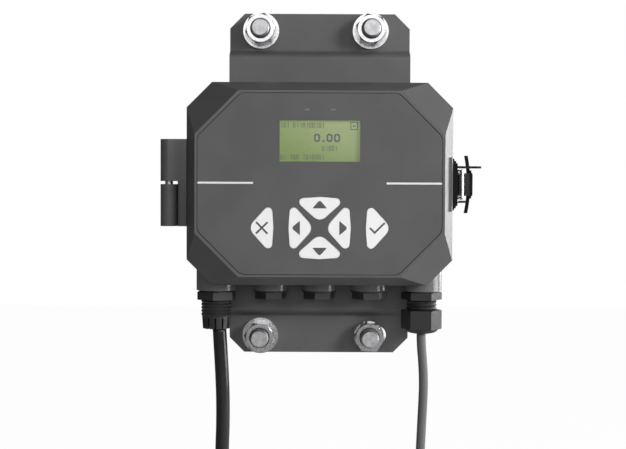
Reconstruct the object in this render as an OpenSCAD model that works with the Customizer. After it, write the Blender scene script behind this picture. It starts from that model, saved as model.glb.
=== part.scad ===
// Ultrasonic flow meter in an eight-sided box, on a stepped plate that two U-bolts hold to a pole.
// The pole's axis is the Z axis. The meter faces -Y, and X runs to the right as seen from the front.

/* [Pole mounting] */
// Outside diameter of the pole that the bolts go round
pole_d = 60.3; // [59:0.1:61]
// Width of the mounting plate
plate_w = 120; // [112:1:130]
// Height of the mounting plate
plate_h = 226.8; // [224:0.2:240]
// Thickness of the mounting plate
plate_t = 3; // [2:0.5:4]
// Height of each flat end of the plate
plate_end_h = 24.9; // [24.5:0.1:28]
// How far the middle part stands forward of the ends
plate_step = 8; // [6:0.5:10]
// Height of each slope between the middle and an end
plate_slope_h = 3.5; // [3:0.5:5]
// Length of the plate's cut corners
plate_corner = 9.9; // [6:0.1:12]
// How far the meter sits to the right of the pole's axis, in the plate's slots
meter_shift = 2.7; // [0:0.1:2.8]
// Diameter of the U-bolt rod
rod_d = 12; // [10:0.5:12]
// Distance between the two legs of a U-bolt
leg_spacing = 73; // [72.8:0.1:74]
// Distance of each U-bolt from the end of the plate
bolt_edge = 11.4; // [10.8:0.1:12.2]
// How far the legs reach in front of the plate
bolt_reach = 22.5; // [21.5:0.5:26]
// Length of each slot in the plate
slot_l = 18; // [17.8:0.1:20]
// Outside diameter of the flat washers
washer_d = 24; // [22:0.5:26]
// Thickness of the flat washers
washer_t = 2.5; // [2:0.1:3]
// Outside diameter of the split lock washers
lock_washer_d = 20; // [18:0.5:21]
// Thickness of the split lock washers
lock_washer_t = 3; // [2.5:0.1:3.5]
// Width across the flats of the U-bolt nuts
nut_flats = 18; // [17:0.5:19]
// Height of the U-bolt nuts
nut_h = 10.8; // [9:0.1:11]

/* [Box] */
// Width of the box
case_w = 168; // [164:1:176]
// Height of the box
case_h = 128; // [126:1:136]
// Length of the box's cut corners
case_corner = 16; // [12:0.5:18]
// Depth of the housing, from the plate to the cover
housing_depth = 30; // [29.5:0.5:36]
// How far the housing's sides stand inside the cover's
housing_inset = 0.6; // [0.4:0.1:1]
// Straight part of the cover's sides
cover_side = 13; // [12:0.5:16]
// Depth of the cover's bevelled part
cover_bevel = 16.5; // [14:0.5:18]
// Width of the cover's front edge
face_w = 155; // [154:0.5:157]
// Height of the cover's front edge
face_h = 115.5; // [115:0.5:118]
// Length of the front edge's cut corners
face_corner = 27; // [26:0.5:28]
// Wall thickness of the box
wall = 3; // [2.5:0.1:3.5]
// Gap between the housing and the closed cover
seam = 0.2; // [0.1:0.05:0.4]

/* [Front panel] */
// Width of the front panel
panel_w = 151.4; // [150:0.2:152]
// Height of the front panel
panel_h = 112; // [111:0.2:113]
// Radius of the front panel's corners
panel_corner_r = 7; // [4:0.5:9]
// Thickness of the front panel
panel_t = 0.5; // [0.3:0.05:0.55]
// Depth of the recess that the front panel lies in
panel_sink = 0.6; // [0.5:0.05:0.9]
// Gap between the front panel and the edge of its recess
panel_gap = 0.45; // [0.2:0.05:0.5]
// Width of the display window
window_w = 50; // [44:0.5:56]
// Height of the display window
window_h = 25.6; // [22:0.2:26]
// Height of the display window's middle above the box's middle
window_z = 26.7; // [26:0.1:28]
// Width of an indicator lamp
lamp_w = 3; // [2:0.5:4]
// Height of an indicator lamp
lamp_h = 1; // [0.8:0.1:1.5]
// Distance of the lamps from the middle line
lamp_x = 8; // [6:0.5:12]
// Height of the lamps above the box's middle
lamp_z = 46; // [45:0.5:47]

/* [Keys] */
// Width of a key
key_w = 25.2; // [24:0.2:26]
// Depth of a key from its long side to its tip
key_d = 13.9; // [13:0.1:14.6]
// Height of the keypad's middle, below the box's middle
keypad_drop = 27.2; // [26.5:0.1:28]
// Distance of the four arrow keys from the keypad's middle
key_ring = 12.3; // [12:0.1:13]
// Distance of the two outer keys from the keypad's middle
key_outer = 35.6; // [34.5:0.1:37]
// How far a key stands in front of the front panel
key_rise = 0.2; // [0.1:0.05:0.5]
// Travel of a key
key_travel = 0.7; // [0.4:0.05:0.8]
// Gap round a key
key_gap = 0.25; // [0.15:0.05:0.4]

/* [Cable entries] */
// Distance of the outer entries from the middle line
outer_entry_x = 67; // [64:0.5:68]
// Distance of the inner entries from the middle line
inner_entry_x = 31.5; // [29:0.5:34]
// How far the entries lie in front of the housing's back
entry_depth = 16.85; // [16.5:0.05:17]
// Diameter of the bosses round the outer entries
outer_boss_d = 26; // [25:0.1:26.4]
// Diameter of the bosses round the inner entries
inner_boss_d = 23; // [22.5:0.5:25]
// How far the bosses stand out under the box
boss_h = 5.3; // [4:0.1:7]
// Diameter of the entry threads
thread_d = 20; // [19:0.1:20.2]
// Pitch of the gland threads
thread_pitch = 2; // [1.5:0.1:2.5]
// Width across the flats of the gland bodies
gland_flats = 23; // [22.5:0.5:24]
// Thickness of the sealing rings
seal_t = 1; // [0.8:0.1:1.5]

/* [Cables] */
// Diameter of the black cable
black_d = 9; // [8:0.1:9.4]
// Diameter of the grey cable
grey_d = 6; // [5:0.1:6.2]
// Clear gap between the turns of a coil
turn_gap = 0.8; // [0.5:0.1:1.2]
// Radius at the middle of the black coil's turns
black_coil_r = 52.5; // [50:0.5:54]
// Radius at the middle of the grey coil's turns
grey_coil_r = 35.6; // [34:0.2:37]

/* [Hinge] */
// Distance of the hinge axis from the box's side
hinge_out = 11.5; // [11.3:0.1:12.5]
// Distance of the hinge axis in front of the housing's front edge
hinge_front = 8.85; // [8.6:0.05:9.4]
// Diameter of the hinge knuckles
knuckle_d = 10.8; // [9:0.1:11]
// Diameter of the hinge pin
hinge_pin_d = 5; // [4:0.1:6]
// Height of the hinge
hinge_h = 55; // [50:1:70]
// Gap between the two knuckles
knuckle_gap = 1.9; // [1:0.1:3]

/* [Latch] */
// Half the height of the lever
lever_half_h = 19; // [17:0.1:20]
// Thickness of the lever's plate
lever_t = 1.7; // [1.2:0.1:2]
// Diameter of the bail wire
bail_d = 2; // [1.6:0.1:2.2]
// Diameter of the hole for a padlock
padlock_d = 5.8; // [5:0.1:6]
// Thickness of the latch's ears
ear_t = 1.4; // [1:0.1:1.6]
// Distance of the ears from the latch's middle
ear_z = 11.2; // [11:0.1:12]

/* [Boards] */
// Width of the main board
board_w = 128; // [120:1:132]
// Height of the main board
board_h = 84; // [80:1:86]
// Thickness of the circuit boards
board_t = 1.6; // [1.2:0.1:2]
// Height of the posts under the main board
post_h = 6; // [5.5:0.5:8]

/* [Hidden] */
$fn = 48;

// Overrun of a cut past the face that it starts from
over = 1;
// Clearance between a turning pin and its bore, and round a thread
pin_gap = 0.05;
fit_gap = 0.1;

// Depths, from the pole forward
end_back_y = -pole_d / 2;
end_front_y = end_back_y - plate_t;
plate_back_y = end_back_y - plate_step;
case_back_y = plate_back_y - plate_t;
floor_y = case_back_y - wall;
split_y = case_back_y - housing_depth;
cover_back_y = split_y - seam;
edge_y = split_y - cover_side;
face_y = edge_y - cover_bevel;
panel_back_y = face_y + panel_sink;
panel_front_y = panel_back_y - panel_t;
face_t = 2;
inner_y = panel_back_y + face_t;
entry_y = case_back_y - entry_depth;

// Half sizes of the box: across, up and across the cut corners
case_halves = [case_w / 2, case_h / 2, (case_w + case_h) / 2 - case_corner];
face_halves = [face_w / 2, face_h / 2, (face_w + face_h) / 2 - face_corner];
inset_halves = [housing_inset, housing_inset, housing_inset * sqrt(2)];
wall_halves = [wall, wall, wall * sqrt(2)];
housing_halves = case_halves - inset_halves;

case_grey = [0.28, 0.28, 0.29];
dark_grey = [0.2, 0.2, 0.21];
black = [0.07, 0.07, 0.08];
zinc = [0.78, 0.78, 0.8];
board_green = [0.1, 0.35, 0.2];

// Moves a piece of the meter from the box's middle line to its place beside the pole's axis
module meter() {
    translate([meter_shift, 0, 0]) children();
}

// Extrudes an outline of X and Z from the depth y forward by t
module facing(y, t) {
    translate([0, y, 0]) rotate([90, 0, 0]) linear_extrude(t) children();
}

// Extrudes an outline of X and Y upwards from the height z by h
module standing(z, h) {
    translate([0, 0, z]) linear_extrude(h) children();
}

function unit(v) = v / norm(v);
function arc_points(centre, r, from, to, steps) =
    [for (i = [0 : steps]) let(a = from + (to - from) * i / steps) centre + r * [cos(a), sin(a)]];

// Outline of a polygon, counterclockwise, with its corners rounded by the radii given
function rounded_outline(points, radii, steps) = [
    for (i = [0 : len(points) - 1])
        let(
            p = points[i],
            before = unit(points[(i + len(points) - 1) % len(points)] - p),
            after = unit(points[(i + 1) % len(points)] - p),
            half = acos(before * after) / 2,
            middle = p + unit(before + after) * radii[i] / sin(half),
            start = p + before * radii[i] / tan(half) - middle,
            end = p + after * radii[i] / tan(half) - middle,
            from = atan2(start[1], start[0]),
            turn = (atan2(end[1], end[0]) - from + 540) % 360 - 180
        )
        each (radii[i] == 0 ? [p] : arc_points(middle, radii[i], from, from + turn, steps))
];

// Direction of the line that touches circles a and b, [x, y, r], on the outside
function touch_angle(a, b) =
    let(d = [b[0] - a[0], b[1] - a[1]])
    atan2(d[1], d[0]) - acos((a[2] - b[2]) / norm(d));

// Outline of a band drawn tight round circles [x, y, r], which are in counterclockwise order
function wrapped_outline(rounds, steps) = [
    for (i = [0 : len(rounds) - 1])
        let(
            c = rounds[i],
            from = touch_angle(rounds[(i + len(rounds) - 1) % len(rounds)], c),
            to = touch_angle(c, rounds[(i + 1) % len(rounds)]),
            turn = ((to - from) % 360 + 360) % 360
        )
        each arc_points([c[0], c[1]], c[2], from, from + turn, steps)
];

// Corner points of a rectangle with cut corners
function cut_rectangle(w, h, cut) = [
    [w / 2, cut - h / 2], [w / 2, h / 2 - cut], [w / 2 - cut, h / 2], [cut - w / 2, h / 2],
    [-w / 2, h / 2 - cut], [-w / 2, cut - h / 2], [cut - w / 2, -h / 2], [w / 2 - cut, -h / 2]
];

// Eight-sided block: straight from y0 to y1, then tapering to y2.
// Halves are across, up and across the corners.
module eight_sided(halves, end_halves, y0, y1, y2) {
    flats = [halves[0], halves[1], halves[2] / sqrt(2)];
    end_flats = [end_halves[0], end_halves[1], end_halves[2] / sqrt(2)];
    turns = [[0, 0], [-90, 1], [-45, 2], [45, 2]];
    intersection_for (turn = turns) {
        a = flats[turn[1]];
        b = end_flats[turn[1]];
        rotate([0, turn[0], 0]) linear_extrude(halves[2] * 2, center = true)
            polygon([[-a, y0], [-a, y1], [-b, y2], [b, y2], [a, y1], [a, y0]]);
    }
}

// Flat ring of the outline of the box's wall, for the gasket and its groove
module wall_ring(outer, inner) {
    difference() {
        polygon(cut_rectangle(case_w - outer * 2, case_h - outer * 2, case_corner - outer * (2 - sqrt(2))));
        polygon(cut_rectangle(case_w - inner * 2, case_h - inner * 2, case_corner - inner * (2 - sqrt(2))));
    }
}

// Washer or ring along +Z
module ring(outer_r, inner_r, t) {
    difference() {
        cylinder(r = outer_r, h = t);
        translate([0, 0, -over]) cylinder(r = inner_r, h = t + over * 2);
    }
}

// Hexagonal prism along +Z with both rims chamfered by a share of its corners' overhang
module hexagon(flats, h, share = 1) {
    corner_r = flats / sqrt(3);
    cut = (corner_r - flats / 2) * share;
    rise = cut * tan(30);
    intersection() {
        cylinder(r = corner_r, h = h, $fn = 6);
        rotate_extrude() polygon([
            [0, 0], [corner_r - cut, 0], [corner_r, rise], [corner_r, h - rise], [corner_r - cut, h], [0, h]
        ]);
    }
}

// Screwed length along +Z with ridges, from a plain core
module screwed(r, length, pitch) {
    depth = pitch * 0.35;
    count = floor(length / pitch);
    step = length / count;
    rotate_extrude() polygon(concat(
        [[0, 0]],
        [for (i = [0 : count - 1]) each [[r - depth, i * step], [r, (i + 0.5) * step]]],
        [[r - depth, length], [0, length]]
    ));
}

// Round rod from point a to point b
module rod(a, b, d) {
    v = b - a;
    translate(a) rotate([0, acos(v[2] / norm(v)), atan2(v[1], v[0])]) cylinder(d = d, h = norm(v));
}

// Screw with a domed head, along +Z from its head's seat at zero
module pan_screw(head_d, head_h, shank_d, shank_l) {
    rotate_extrude() polygon([
        [0, -head_h], [head_d * 0.3, -head_h], [head_d * 0.45, -head_h * 0.75], [head_d / 2, -head_h * 0.3],
        [head_d / 2, 0], [shank_d / 2, 0], [shank_d / 2, shank_l], [0, shank_l]
    ]);
}

// Plate, bolts and their fasteners

slot_play = 1;
slot_w = rod_d + slot_play;
slot_x = leg_spacing / 2;
leg_xs = [-leg_spacing / 2, leg_spacing / 2];
bolt_zs = [plate_h / 2 - bolt_edge, bolt_edge - plate_h / 2];
plate_middle_h = plate_h - (plate_end_h + plate_slope_h) * 2;
plate_hole_x = 40;
plate_hole_z = 46;
plate_screw_d = 5;
plate_bend_r = 2;

// Half of the plate's side outline, of depth and height, from the middle up
function plate_side(y_middle, y_end, z_shift) = [
    [y_middle, plate_middle_h / 2 + z_shift],
    [y_end, plate_middle_h / 2 + plate_slope_h + z_shift]
];

module slot() {
    straight = (slot_l - slot_w) / 2;
    square([straight * 2, slot_w], center = true);
    for (x = [-straight, straight]) translate([x, 0]) circle(d = slot_w);
}

module mounting_plate() {
    slope_turn = atan(plate_step / plate_slope_h);
    thin_shift = plate_t * tan(slope_turn / 2);
    front = plate_side(case_back_y, end_front_y, 0);
    back = plate_side(plate_back_y, end_back_y, -thin_shift);
    top = plate_h / 2;
    side = [
        [case_back_y, -front[0][1]], [case_back_y, front[0][1]], front[1], [end_front_y, top],
        [end_back_y, top], back[1], back[0], [plate_back_y, -back[0][1]], [end_back_y, -back[1][1]],
        [end_back_y, -top], [end_front_y, -top], [end_front_y, -front[1][1]]
    ];
    inner = plate_bend_r;
    outer = plate_bend_r + plate_t / 2;
    radii = [outer, outer, inner, 0, 0, outer, inner, inner, outer, 0, 0, inner];
    color(case_grey) meter() difference() {
        intersection() {
            rotate([0, 0, 90]) rotate([90, 0, 0]) linear_extrude(plate_w, center = true)
                polygon(rounded_outline(side, radii, 4));
            facing(over, pole_d + plate_step + over)
                polygon(cut_rectangle(plate_w, plate_h, plate_corner));
        }
        facing(end_back_y + over, plate_t + over * 2)
            for (x = [-slot_x, slot_x], z = bolt_zs) translate([x, z]) slot();
        facing(plate_back_y + over, plate_t + over * 2)
            for (x = [-plate_hole_x, plate_hole_x], z = [-plate_hole_z, plate_hole_z])
                translate([x, z]) circle(d = plate_screw_d + fit_gap * 2);
    }
}

screwed_end = 7;
rod_pitch = 1.75;
rod_tip = 1.2;

module ubolt(z) {
    leg = -end_front_y + bolt_reach;
    color(zinc) translate([0, 0, z]) {
        rotate_extrude(angle = 180) translate([leg_spacing / 2, 0]) circle(d = rod_d);
        for (x = leg_xs) translate([x, 0, 0]) rotate([90, 0, 0]) {
            cylinder(d = rod_d, h = leg - screwed_end);
            translate([0, 0, leg - screwed_end])
                screwed(rod_d / 2, screwed_end - rod_tip, rod_pitch);
            translate([0, 0, leg - rod_tip])
                cylinder(d1 = rod_d - rod_tip, d2 = rod_d - rod_tip * 1.5, h = rod_tip);
        }
    }
}

module ubolt_upper() {
    ubolt(bolt_zs[0]);
}

module ubolt_lower() {
    ubolt(bolt_zs[1]);
}

// Which legs carry a flat washer, and how far each nut and lock washer is turned
leg_places = [
    [leg_xs[0], bolt_zs[0], 1, 15, 40], [leg_xs[1], bolt_zs[0], 1, 46, 70],
    [leg_xs[0], bolt_zs[1], 1, 52, 200], [leg_xs[1], bolt_zs[1], 0, -2, 110]
];
lock_split = 1.4;
nut_sink = 0.7;

// Puts a piece on a leg, at a distance in front of the plate
module on_leg(place, out) {
    translate([place[0], end_front_y - out, place[1]]) rotate([90, 0, 0]) children();
}

module ubolt_washers() {
    color(zinc) for (place = leg_places) if (place[2] == 1)
        on_leg(place, 0) ring(washer_d / 2, rod_d / 2 + fit_gap * 2, washer_t);
}

module ubolt_lock_washers() {
    color(zinc) for (place = leg_places) on_leg(place, place[2] * washer_t) rotate([0, 0, place[4]])
        difference() {
            ring(lock_washer_d / 2, rod_d / 2 + fit_gap, lock_washer_t);
            translate([0, -lock_split / 2, -over]) rotate([20, 0, 0])
                cube([lock_washer_d, lock_split, lock_washer_t * 2 + over * 2]);
        }
}

module ubolt_nuts() {
    color(zinc) for (place = leg_places) on_leg(place, place[2] * washer_t + lock_washer_t)
        rotate([0, 0, place[3]]) difference() {
            hexagon(nut_flats, nut_h);
            translate([0, 0, -over]) cylinder(d = rod_d + pin_gap * 2, h = nut_h + over * 2);
            translate([0, 0, -over])
                cylinder(r1 = rod_d / 2 + nut_sink + over, r2 = rod_d / 2, h = nut_sink + over);
            translate([0, 0, nut_h - nut_sink])
                cylinder(r1 = rod_d / 2, r2 = rod_d / 2 + nut_sink + over, h = nut_sink + over);
        }
}

// Housing

boss_bottom_z = -case_h / 2 - boss_h;
entry_xs = [-outer_entry_x, -inner_entry_x, 0, inner_entry_x, outer_entry_x];
entry_bore_d = thread_d + fit_gap * 4;
boss_root = 14;
back_chamfer = 2;
screw_boss_d = 10;
screw_boss_h = 5;
// Metal left past the end of a blind screw hole
screw_skin = 1;
post_d = 6.4;
post_screw_d = 3;
post_y = floor_y - post_h;
board_z = 8;
post_inset = 6;
board_posts = [for (x = [-1, 1], z = [-1, 1])
    [x * (board_w / 2 - post_inset), board_z + z * (board_h / 2 - post_inset)]];

module entry_boss(x, d) {
    translate([x, entry_y, boss_bottom_z]) cylinder(d = d, h = boss_h + boss_root);
}

module housing() {
    chamfer_halves = [back_chamfer, back_chamfer, back_chamfer * sqrt(2)];
    cavity = housing_halves - wall_halves;
    color(dark_grey) meter() difference() {
        union() {
            difference() {
                union() {
                    eight_sided(housing_halves, housing_halves - chamfer_halves,
                        split_y, case_back_y - back_chamfer, case_back_y);
                    for (x = entry_xs) entry_boss(x, abs(x) == outer_entry_x ? outer_boss_d : inner_boss_d);
                }
                eight_sided(cavity, cavity, split_y - over, floor_y - over, floor_y);
            }
            for (x = [-plate_hole_x, plate_hole_x], z = [-plate_hole_z, plate_hole_z])
                translate([x, floor_y, z]) rotate([90, 0, 0]) cylinder(d = screw_boss_d, h = screw_boss_h);
            for (place = board_posts)
                translate([place[0], floor_y, place[1]]) rotate([90, 0, 0]) cylinder(d = post_d, h = post_h);
        }
        for (x = entry_xs) translate([x, entry_y, boss_bottom_z - over])
            cylinder(d = entry_bore_d, h = boss_h + boss_root + over * 3);
        for (x = [-plate_hole_x, plate_hole_x], z = [-plate_hole_z, plate_hole_z])
            translate([x, case_back_y + over, z]) rotate([90, 0, 0])
                cylinder(d = plate_screw_d + fit_gap * 2, h = wall + screw_boss_h - screw_skin + over);
        for (place = board_posts) translate([place[0], post_y - over, place[1]]) rotate([-90, 0, 0])
            cylinder(d = post_screw_d + fit_gap, h = post_h + over);
        for (z = hinge_screw_zs) translate([-base_x - over, hinge_screw_y, z]) rotate([0, 90, 0])
            cylinder(d = hinge_screw_d + fit_gap, h = wall + over * 2);
        for (y = latch_rivet_ys) translate([base_x - wall - over, y, 0]) rotate([0, 90, 0])
            cylinder(d = rivet_d + fit_gap, h = wall + over * 2);
    }
}

plate_screw_head_d = 9;
plate_screw_head_h = 3;

module plate_screws() {
    color(zinc) meter() for (x = [-plate_hole_x, plate_hole_x], z = [-plate_hole_z, plate_hole_z])
        translate([x, plate_back_y, z]) rotate([90, 0, 0])
            pan_screw(plate_screw_head_d, plate_screw_head_h, plate_screw_d,
                plate_t + wall + screw_boss_h - screw_skin);
}

// Cable entries

seal_z = boss_bottom_z - seal_t;
thread_in = 8;
seal_w = 1.2;
plug_flats = 18;
plug_h = 4.5;
plug_turn = 15;
left_hex_h = 5.2;
left_hex_turn = 25;
left_thread_h = 10.8;
right_hex_h = 4.7;
right_hex_turn = -6;
hex_rim = 0.25;
right_thread_h = 6.9;
finger_h = 8.1;
finger_slot = 1.2;
finger_slot_h = 7;
finger_count = 6;
finger_top_d = 18.8;
finger_end_d = 17.6;
left_bore_d = 14.4;
right_bore_d = 9;
dome_hex_h = 12.3;
dome_h = 3;
dome_lip = 1.5;
dome_step = 0.2;
dome_turn = 78;
dome_steps = 6;
left_mouth_z = seal_z - left_hex_h - left_thread_h - finger_h;
right_collar_z = seal_z - right_hex_h - right_thread_h;
right_mouth_z = right_collar_z - dome_hex_h - dome_h;

module at_entry(x, z) {
    translate([x, entry_y, z]) children();
}

module entry_seals() {
    color(black) meter() for (x = entry_xs)
        at_entry(x, seal_z) ring(thread_d / 2 + seal_w, thread_d / 2 + fit_gap, seal_t);
}

module entry_plugs() {
    color(black) meter() for (x = [-inner_entry_x, 0, inner_entry_x]) {
        at_entry(x, seal_z - plug_h) rotate([0, 0, plug_turn]) hexagon(plug_flats, plug_h, hex_rim);
        at_entry(x, seal_z) cylinder(d = thread_d, h = thread_in + seal_t);
    }
}

module gland_body_left() {
    hex_z = seal_z - left_hex_h;
    thread_z = hex_z - left_thread_h;
    color(black) meter() difference() {
        union() {
            at_entry(-outer_entry_x, seal_z) cylinder(d = thread_d, h = thread_in + seal_t);
            at_entry(-outer_entry_x, hex_z) rotate([0, 0, left_hex_turn])
                hexagon(gland_flats, left_hex_h, hex_rim);
            at_entry(-outer_entry_x, thread_z) screwed(thread_d / 2, left_thread_h, thread_pitch);
            at_entry(-outer_entry_x, left_mouth_z) cylinder(d1 = finger_end_d, d2 = finger_top_d, h = finger_h);
        }
        at_entry(-outer_entry_x, left_mouth_z - over) cylinder(d = left_bore_d, h = case_h);
        for (i = [0 : finger_count - 1]) at_entry(-outer_entry_x, left_mouth_z - over)
            rotate([0, 0, i * 180 / finger_count]) translate([-thread_d, -finger_slot / 2, 0])
                cube([thread_d * 2, finger_slot, finger_slot_h + over]);
    }
}

insert_h = 7;
insert_wall = 1;

module gland_seal_left() {
    color(dark_grey) meter() at_entry(-outer_entry_x, seal_z - left_hex_h - insert_h)
        ring(left_bore_d / 2 - pin_gap, left_bore_d / 2 - insert_wall, insert_h);
}

module gland_body_right() {
    hex_z = seal_z - right_hex_h;
    color(black) meter() difference() {
        union() {
            at_entry(outer_entry_x, seal_z) cylinder(d = thread_d, h = thread_in + seal_t);
            at_entry(outer_entry_x, hex_z) rotate([0, 0, right_hex_turn])
                hexagon(gland_flats, right_hex_h, hex_rim);
            at_entry(outer_entry_x, right_collar_z) screwed(thread_d / 2, right_thread_h, thread_pitch);
            at_entry(outer_entry_x, right_collar_z - dome_hex_h / 2)
                cylinder(d = thread_d - thread_pitch, h = dome_hex_h / 2);
        }
        at_entry(outer_entry_x, right_mouth_z) cylinder(d = right_bore_d, h = case_h);
    }
}

module gland_seal_right() {
    color(dark_grey) meter() at_entry(outer_entry_x, seal_z - insert_h)
        ring(right_bore_d / 2 - pin_gap, grey_d / 2 + fit_gap, insert_h);
}

module gland_nut_right() {
    dome_r = gland_flats / 2 - dome_step;
    mouth_r = grey_d / 2 + fit_gap * 3;
    lip_r = mouth_r + dome_lip;
    color(black) meter() difference() {
        union() {
            at_entry(outer_entry_x, right_collar_z - dome_hex_h) rotate([0, 0, right_hex_turn])
                hexagon(gland_flats, dome_hex_h, hex_rim);
            at_entry(outer_entry_x, right_mouth_z) rotate_extrude() polygon(concat(
                [[0, dome_h], [0, 0]],
                [for (i = [0 : dome_steps]) let(a = dome_turn * i / dome_steps) [
                    lip_r + (dome_r - lip_r) * sin(a) / sin(dome_turn),
                    dome_h * (1 - cos(a)) / (1 - cos(dome_turn))
                ]]
            ));
        }
        at_entry(outer_entry_x, right_mouth_z - over) cylinder(r = mouth_r, h = dome_h * 2 + dome_hex_h);
        at_entry(outer_entry_x, right_collar_z - dome_hex_h / 2 - fit_gap)
            cylinder(d = thread_d - thread_pitch + fit_gap * 2, h = dome_hex_h);
    }
}

// Boards and what they carry

board_front_y = post_y - board_t;
board_screw_head_d = 5.6;
board_screw_head_h = 2;

module main_board() {
    color(board_green) meter() difference() {
        facing(post_y, board_t) translate([0, board_z]) square([board_w, board_h], center = true);
        for (place = board_posts) facing(post_y + over, board_t + over * 2)
            translate(place) circle(d = post_screw_d + fit_gap * 2);
    }
}

module board_screws() {
    color(zinc) meter() for (place = board_posts)
        translate([place[0], board_front_y, place[1]]) rotate([-90, 0, 0])
            pan_screw(board_screw_head_d, board_screw_head_h, post_screw_d, board_t + post_h - screw_skin);
}

// Places on the main board are shares of its width and height, from its middle
power_size = [46, 17, 30];
power_shares = [-0.24, 0.26];
power_lid = 1.5;
capacitor_d = 10;
capacitor_h = 15;
capacitor_shares = [[0.07, 0.33], [0.17, 0.33], [0.27, 0.33]];
chip_size = [12, 1.6, 10];
relay_size = [19, 11, 15];
chip_shares = [[-0.34, -0.1], [-0.17, -0.1], [0.03, -0.05]];
relay_shares = [[0.23, 0.03], [0.23, -0.19]];
terminal_size = [30, 12, 11];
terminal_shares = [-0.31, 0, 0.31];
terminal_xs = terminal_shares * board_w;
terminal_z = board_z - board_h / 2;
terminal_pitch = 5.6;
terminal_hole_d = 3.4;
terminal_count = 5;
terminal_y = board_front_y - terminal_size[1] / 2;

// Box of the given size [across, out, up], standing on the main board
module on_board(shares, size, out) {
    middle = [shares[0] * board_w, 0, board_z + shares[1] * board_h];
    translate(middle - [size[0] / 2, out + size[1] - board_front_y, size[2] / 2])
        cube(size);
}

module power_module() {
    color("goldenrod") meter() {
        on_board(power_shares, power_size, 0);
        on_board(power_shares, [power_size[0] * 2 / 3, power_lid, power_size[2] * 2 / 3], power_size[1]);
    }
}

module capacitors() {
    color("steelblue") meter() for (share = capacitor_shares)
        translate([share[0] * board_w, board_front_y, board_z + share[1] * board_h]) rotate([90, 0, 0])
            cylinder(d = capacitor_d, h = capacitor_h);
}

module board_chips() {
    color(black) meter() {
        for (share = chip_shares) on_board(share, chip_size, 0);
        for (share = relay_shares) on_board(share, relay_size, 0);
    }
}

module terminal_blocks() {
    color("seagreen") meter() for (x = terminal_xs) difference() {
        translate([x - terminal_size[0] / 2, board_front_y - terminal_size[1], terminal_z])
            cube(terminal_size);
        for (i = [0 : terminal_count - 1]) {
            hole_x = x + (i - (terminal_count - 1) / 2) * terminal_pitch;
            translate([hole_x, terminal_y, terminal_z - over])
                cylinder(d = terminal_hole_d, h = terminal_size[2] / 2 + over);
            translate([hole_x, board_front_y - terminal_size[1] - over, terminal_z + terminal_size[2] / 2])
                rotate([-90, 0, 0]) cylinder(d = terminal_hole_d, h = over * 2);
        }
    }
}

// Cables. Route points are [x, z] from the box's middle line, and lie in the plane of the entries.

black_route = [
    [-65, -94.4], [-64.5, -103], [-63.9, -113], [-63.3, -124], [-62.8, -136], [-62.6, -148], [-62.7, -160],
    [-63, -170], [-63, -178], [-62.1, -186.3], [-59.5, -194.3], [-55.4, -201.5], [-49.8, -207.7],
    [-43, -212.6], [-35.2, -217.1]
];
grey_route = [
    [67, -97.2], [67, -101], [67.4, -108], [68, -115], [68.5, -123], [68.7, -131], [68.5, -140],
    [68.1, -149], [67.7, -158], [67.3, -167], [67, -175], [67, -180], [66, -187.8], [63, -195],
    [58.2, -201.2], [52, -206], [46, -209.5]
];
// How far below the bosses' inner ends the cables' sheaths stop
lead_top_gap = 2;
lead_top_z = boss_bottom_z + boss_h + boss_root - lead_top_gap;
black_end_run = 45;
grey_end_run = 25;
coil_turns_black = 7 + 1 / 6;
coil_turns_grey = 6 + 1 / 6;
core_d = 1.6;

function lift(points) = [for (p = points) [p[0], entry_y, p[1]]];

// Tube of the diameter d along points, with the given number of sides: rings of points, then triangles
function along(points, i) = unit(points[min(i + 1, len(points) - 1)] - points[max(i - 1, 0)]);
function ring_points(points, d, sides) = [
    for (i = [0 : len(points) - 1])
        let(t = along(points, i), out = unit([0, 1, 0] - t * t[1]), side = cross(t, out))
        for (k = [0 : sides - 1])
            let(a = 360 * k / sides) points[i] + d / 2 * (out * cos(a) + side * sin(a))
];
function tube_faces(count, sides) = concat(
    [for (i = [0 : count - 2], k = [0 : sides - 1])
        let(a = i * sides + k, b = i * sides + (k + 1) % sides)
        each [[a, a + sides, b], [b, a + sides, b + sides]]],
    [for (k = [1 : sides - 2]) [0, k, k + 1]],
    [for (k = [1 : sides - 2]) let(s = (count - 1) * sides) [s, s + k + 1, s + k]]
);

module tube(points, d, sides) {
    polyhedron(ring_points(points, d, sides), tube_faces(len(points), sides));
}

// Centreline of a coil that goes on from a route's end: one layer winds in, the next one out behind it.
// Hand is 1 for counterclockwise turns seen from the front and -1 for clockwise ones.
rings_a_turn = 24;
climb_turn = 180;
reversal_turn = 40;
function coil_line(route, d, mean_r, turns, hand, end_run) =
    let(
        last = route[len(route) - 1],
        heading = unit(last - route[len(route) - 2]),
        pitch = d + turn_gap,
        total = turns * 360,
        from = atan2(heading[1], heading[0]) - hand * 90,
        spread = pitch * total / 720,
        outer_r = mean_r + spread / 2,
        radius = function(turn)
            outer_r - spread
                + pitch / 360 * (sqrt((turn - total / 2) ^ 2 + reversal_turn ^ 2) - reversal_turn),
        start = last + heading * d,
        middle = start - radius(0) * [cos(from), sin(from)],
        rise = function(turn)
            let(s = min(1, max(0, (turn - total / 2) / climb_turn + 0.5))) pitch * s * s * (3 - 2 * s),
        steps = floor(turns * rings_a_turn),
        body = [for (i = [0 : steps])
            let(turn = total * i / steps, a = from + hand * turn, r = radius(turn))
            [middle[0] + r * cos(a), entry_y + rise(turn), middle[1] + r * sin(a)]],
        end = from + hand * total,
        tail = hand * [-sin(end), 0, cos(end)]
    )
    concat([[last[0], entry_y, last[1]]], body, [body[steps] + tail * end_run]);

// Least gap of a coil to itself, measured on its rings half a turn or more apart
function least_gap(line, d) = min([
    for (i = [0 : len(line) - 1], j = [i + rings_a_turn / 2 : 1 : len(line) - 1]) norm(line[i] - line[j])
]) - d;

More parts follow.
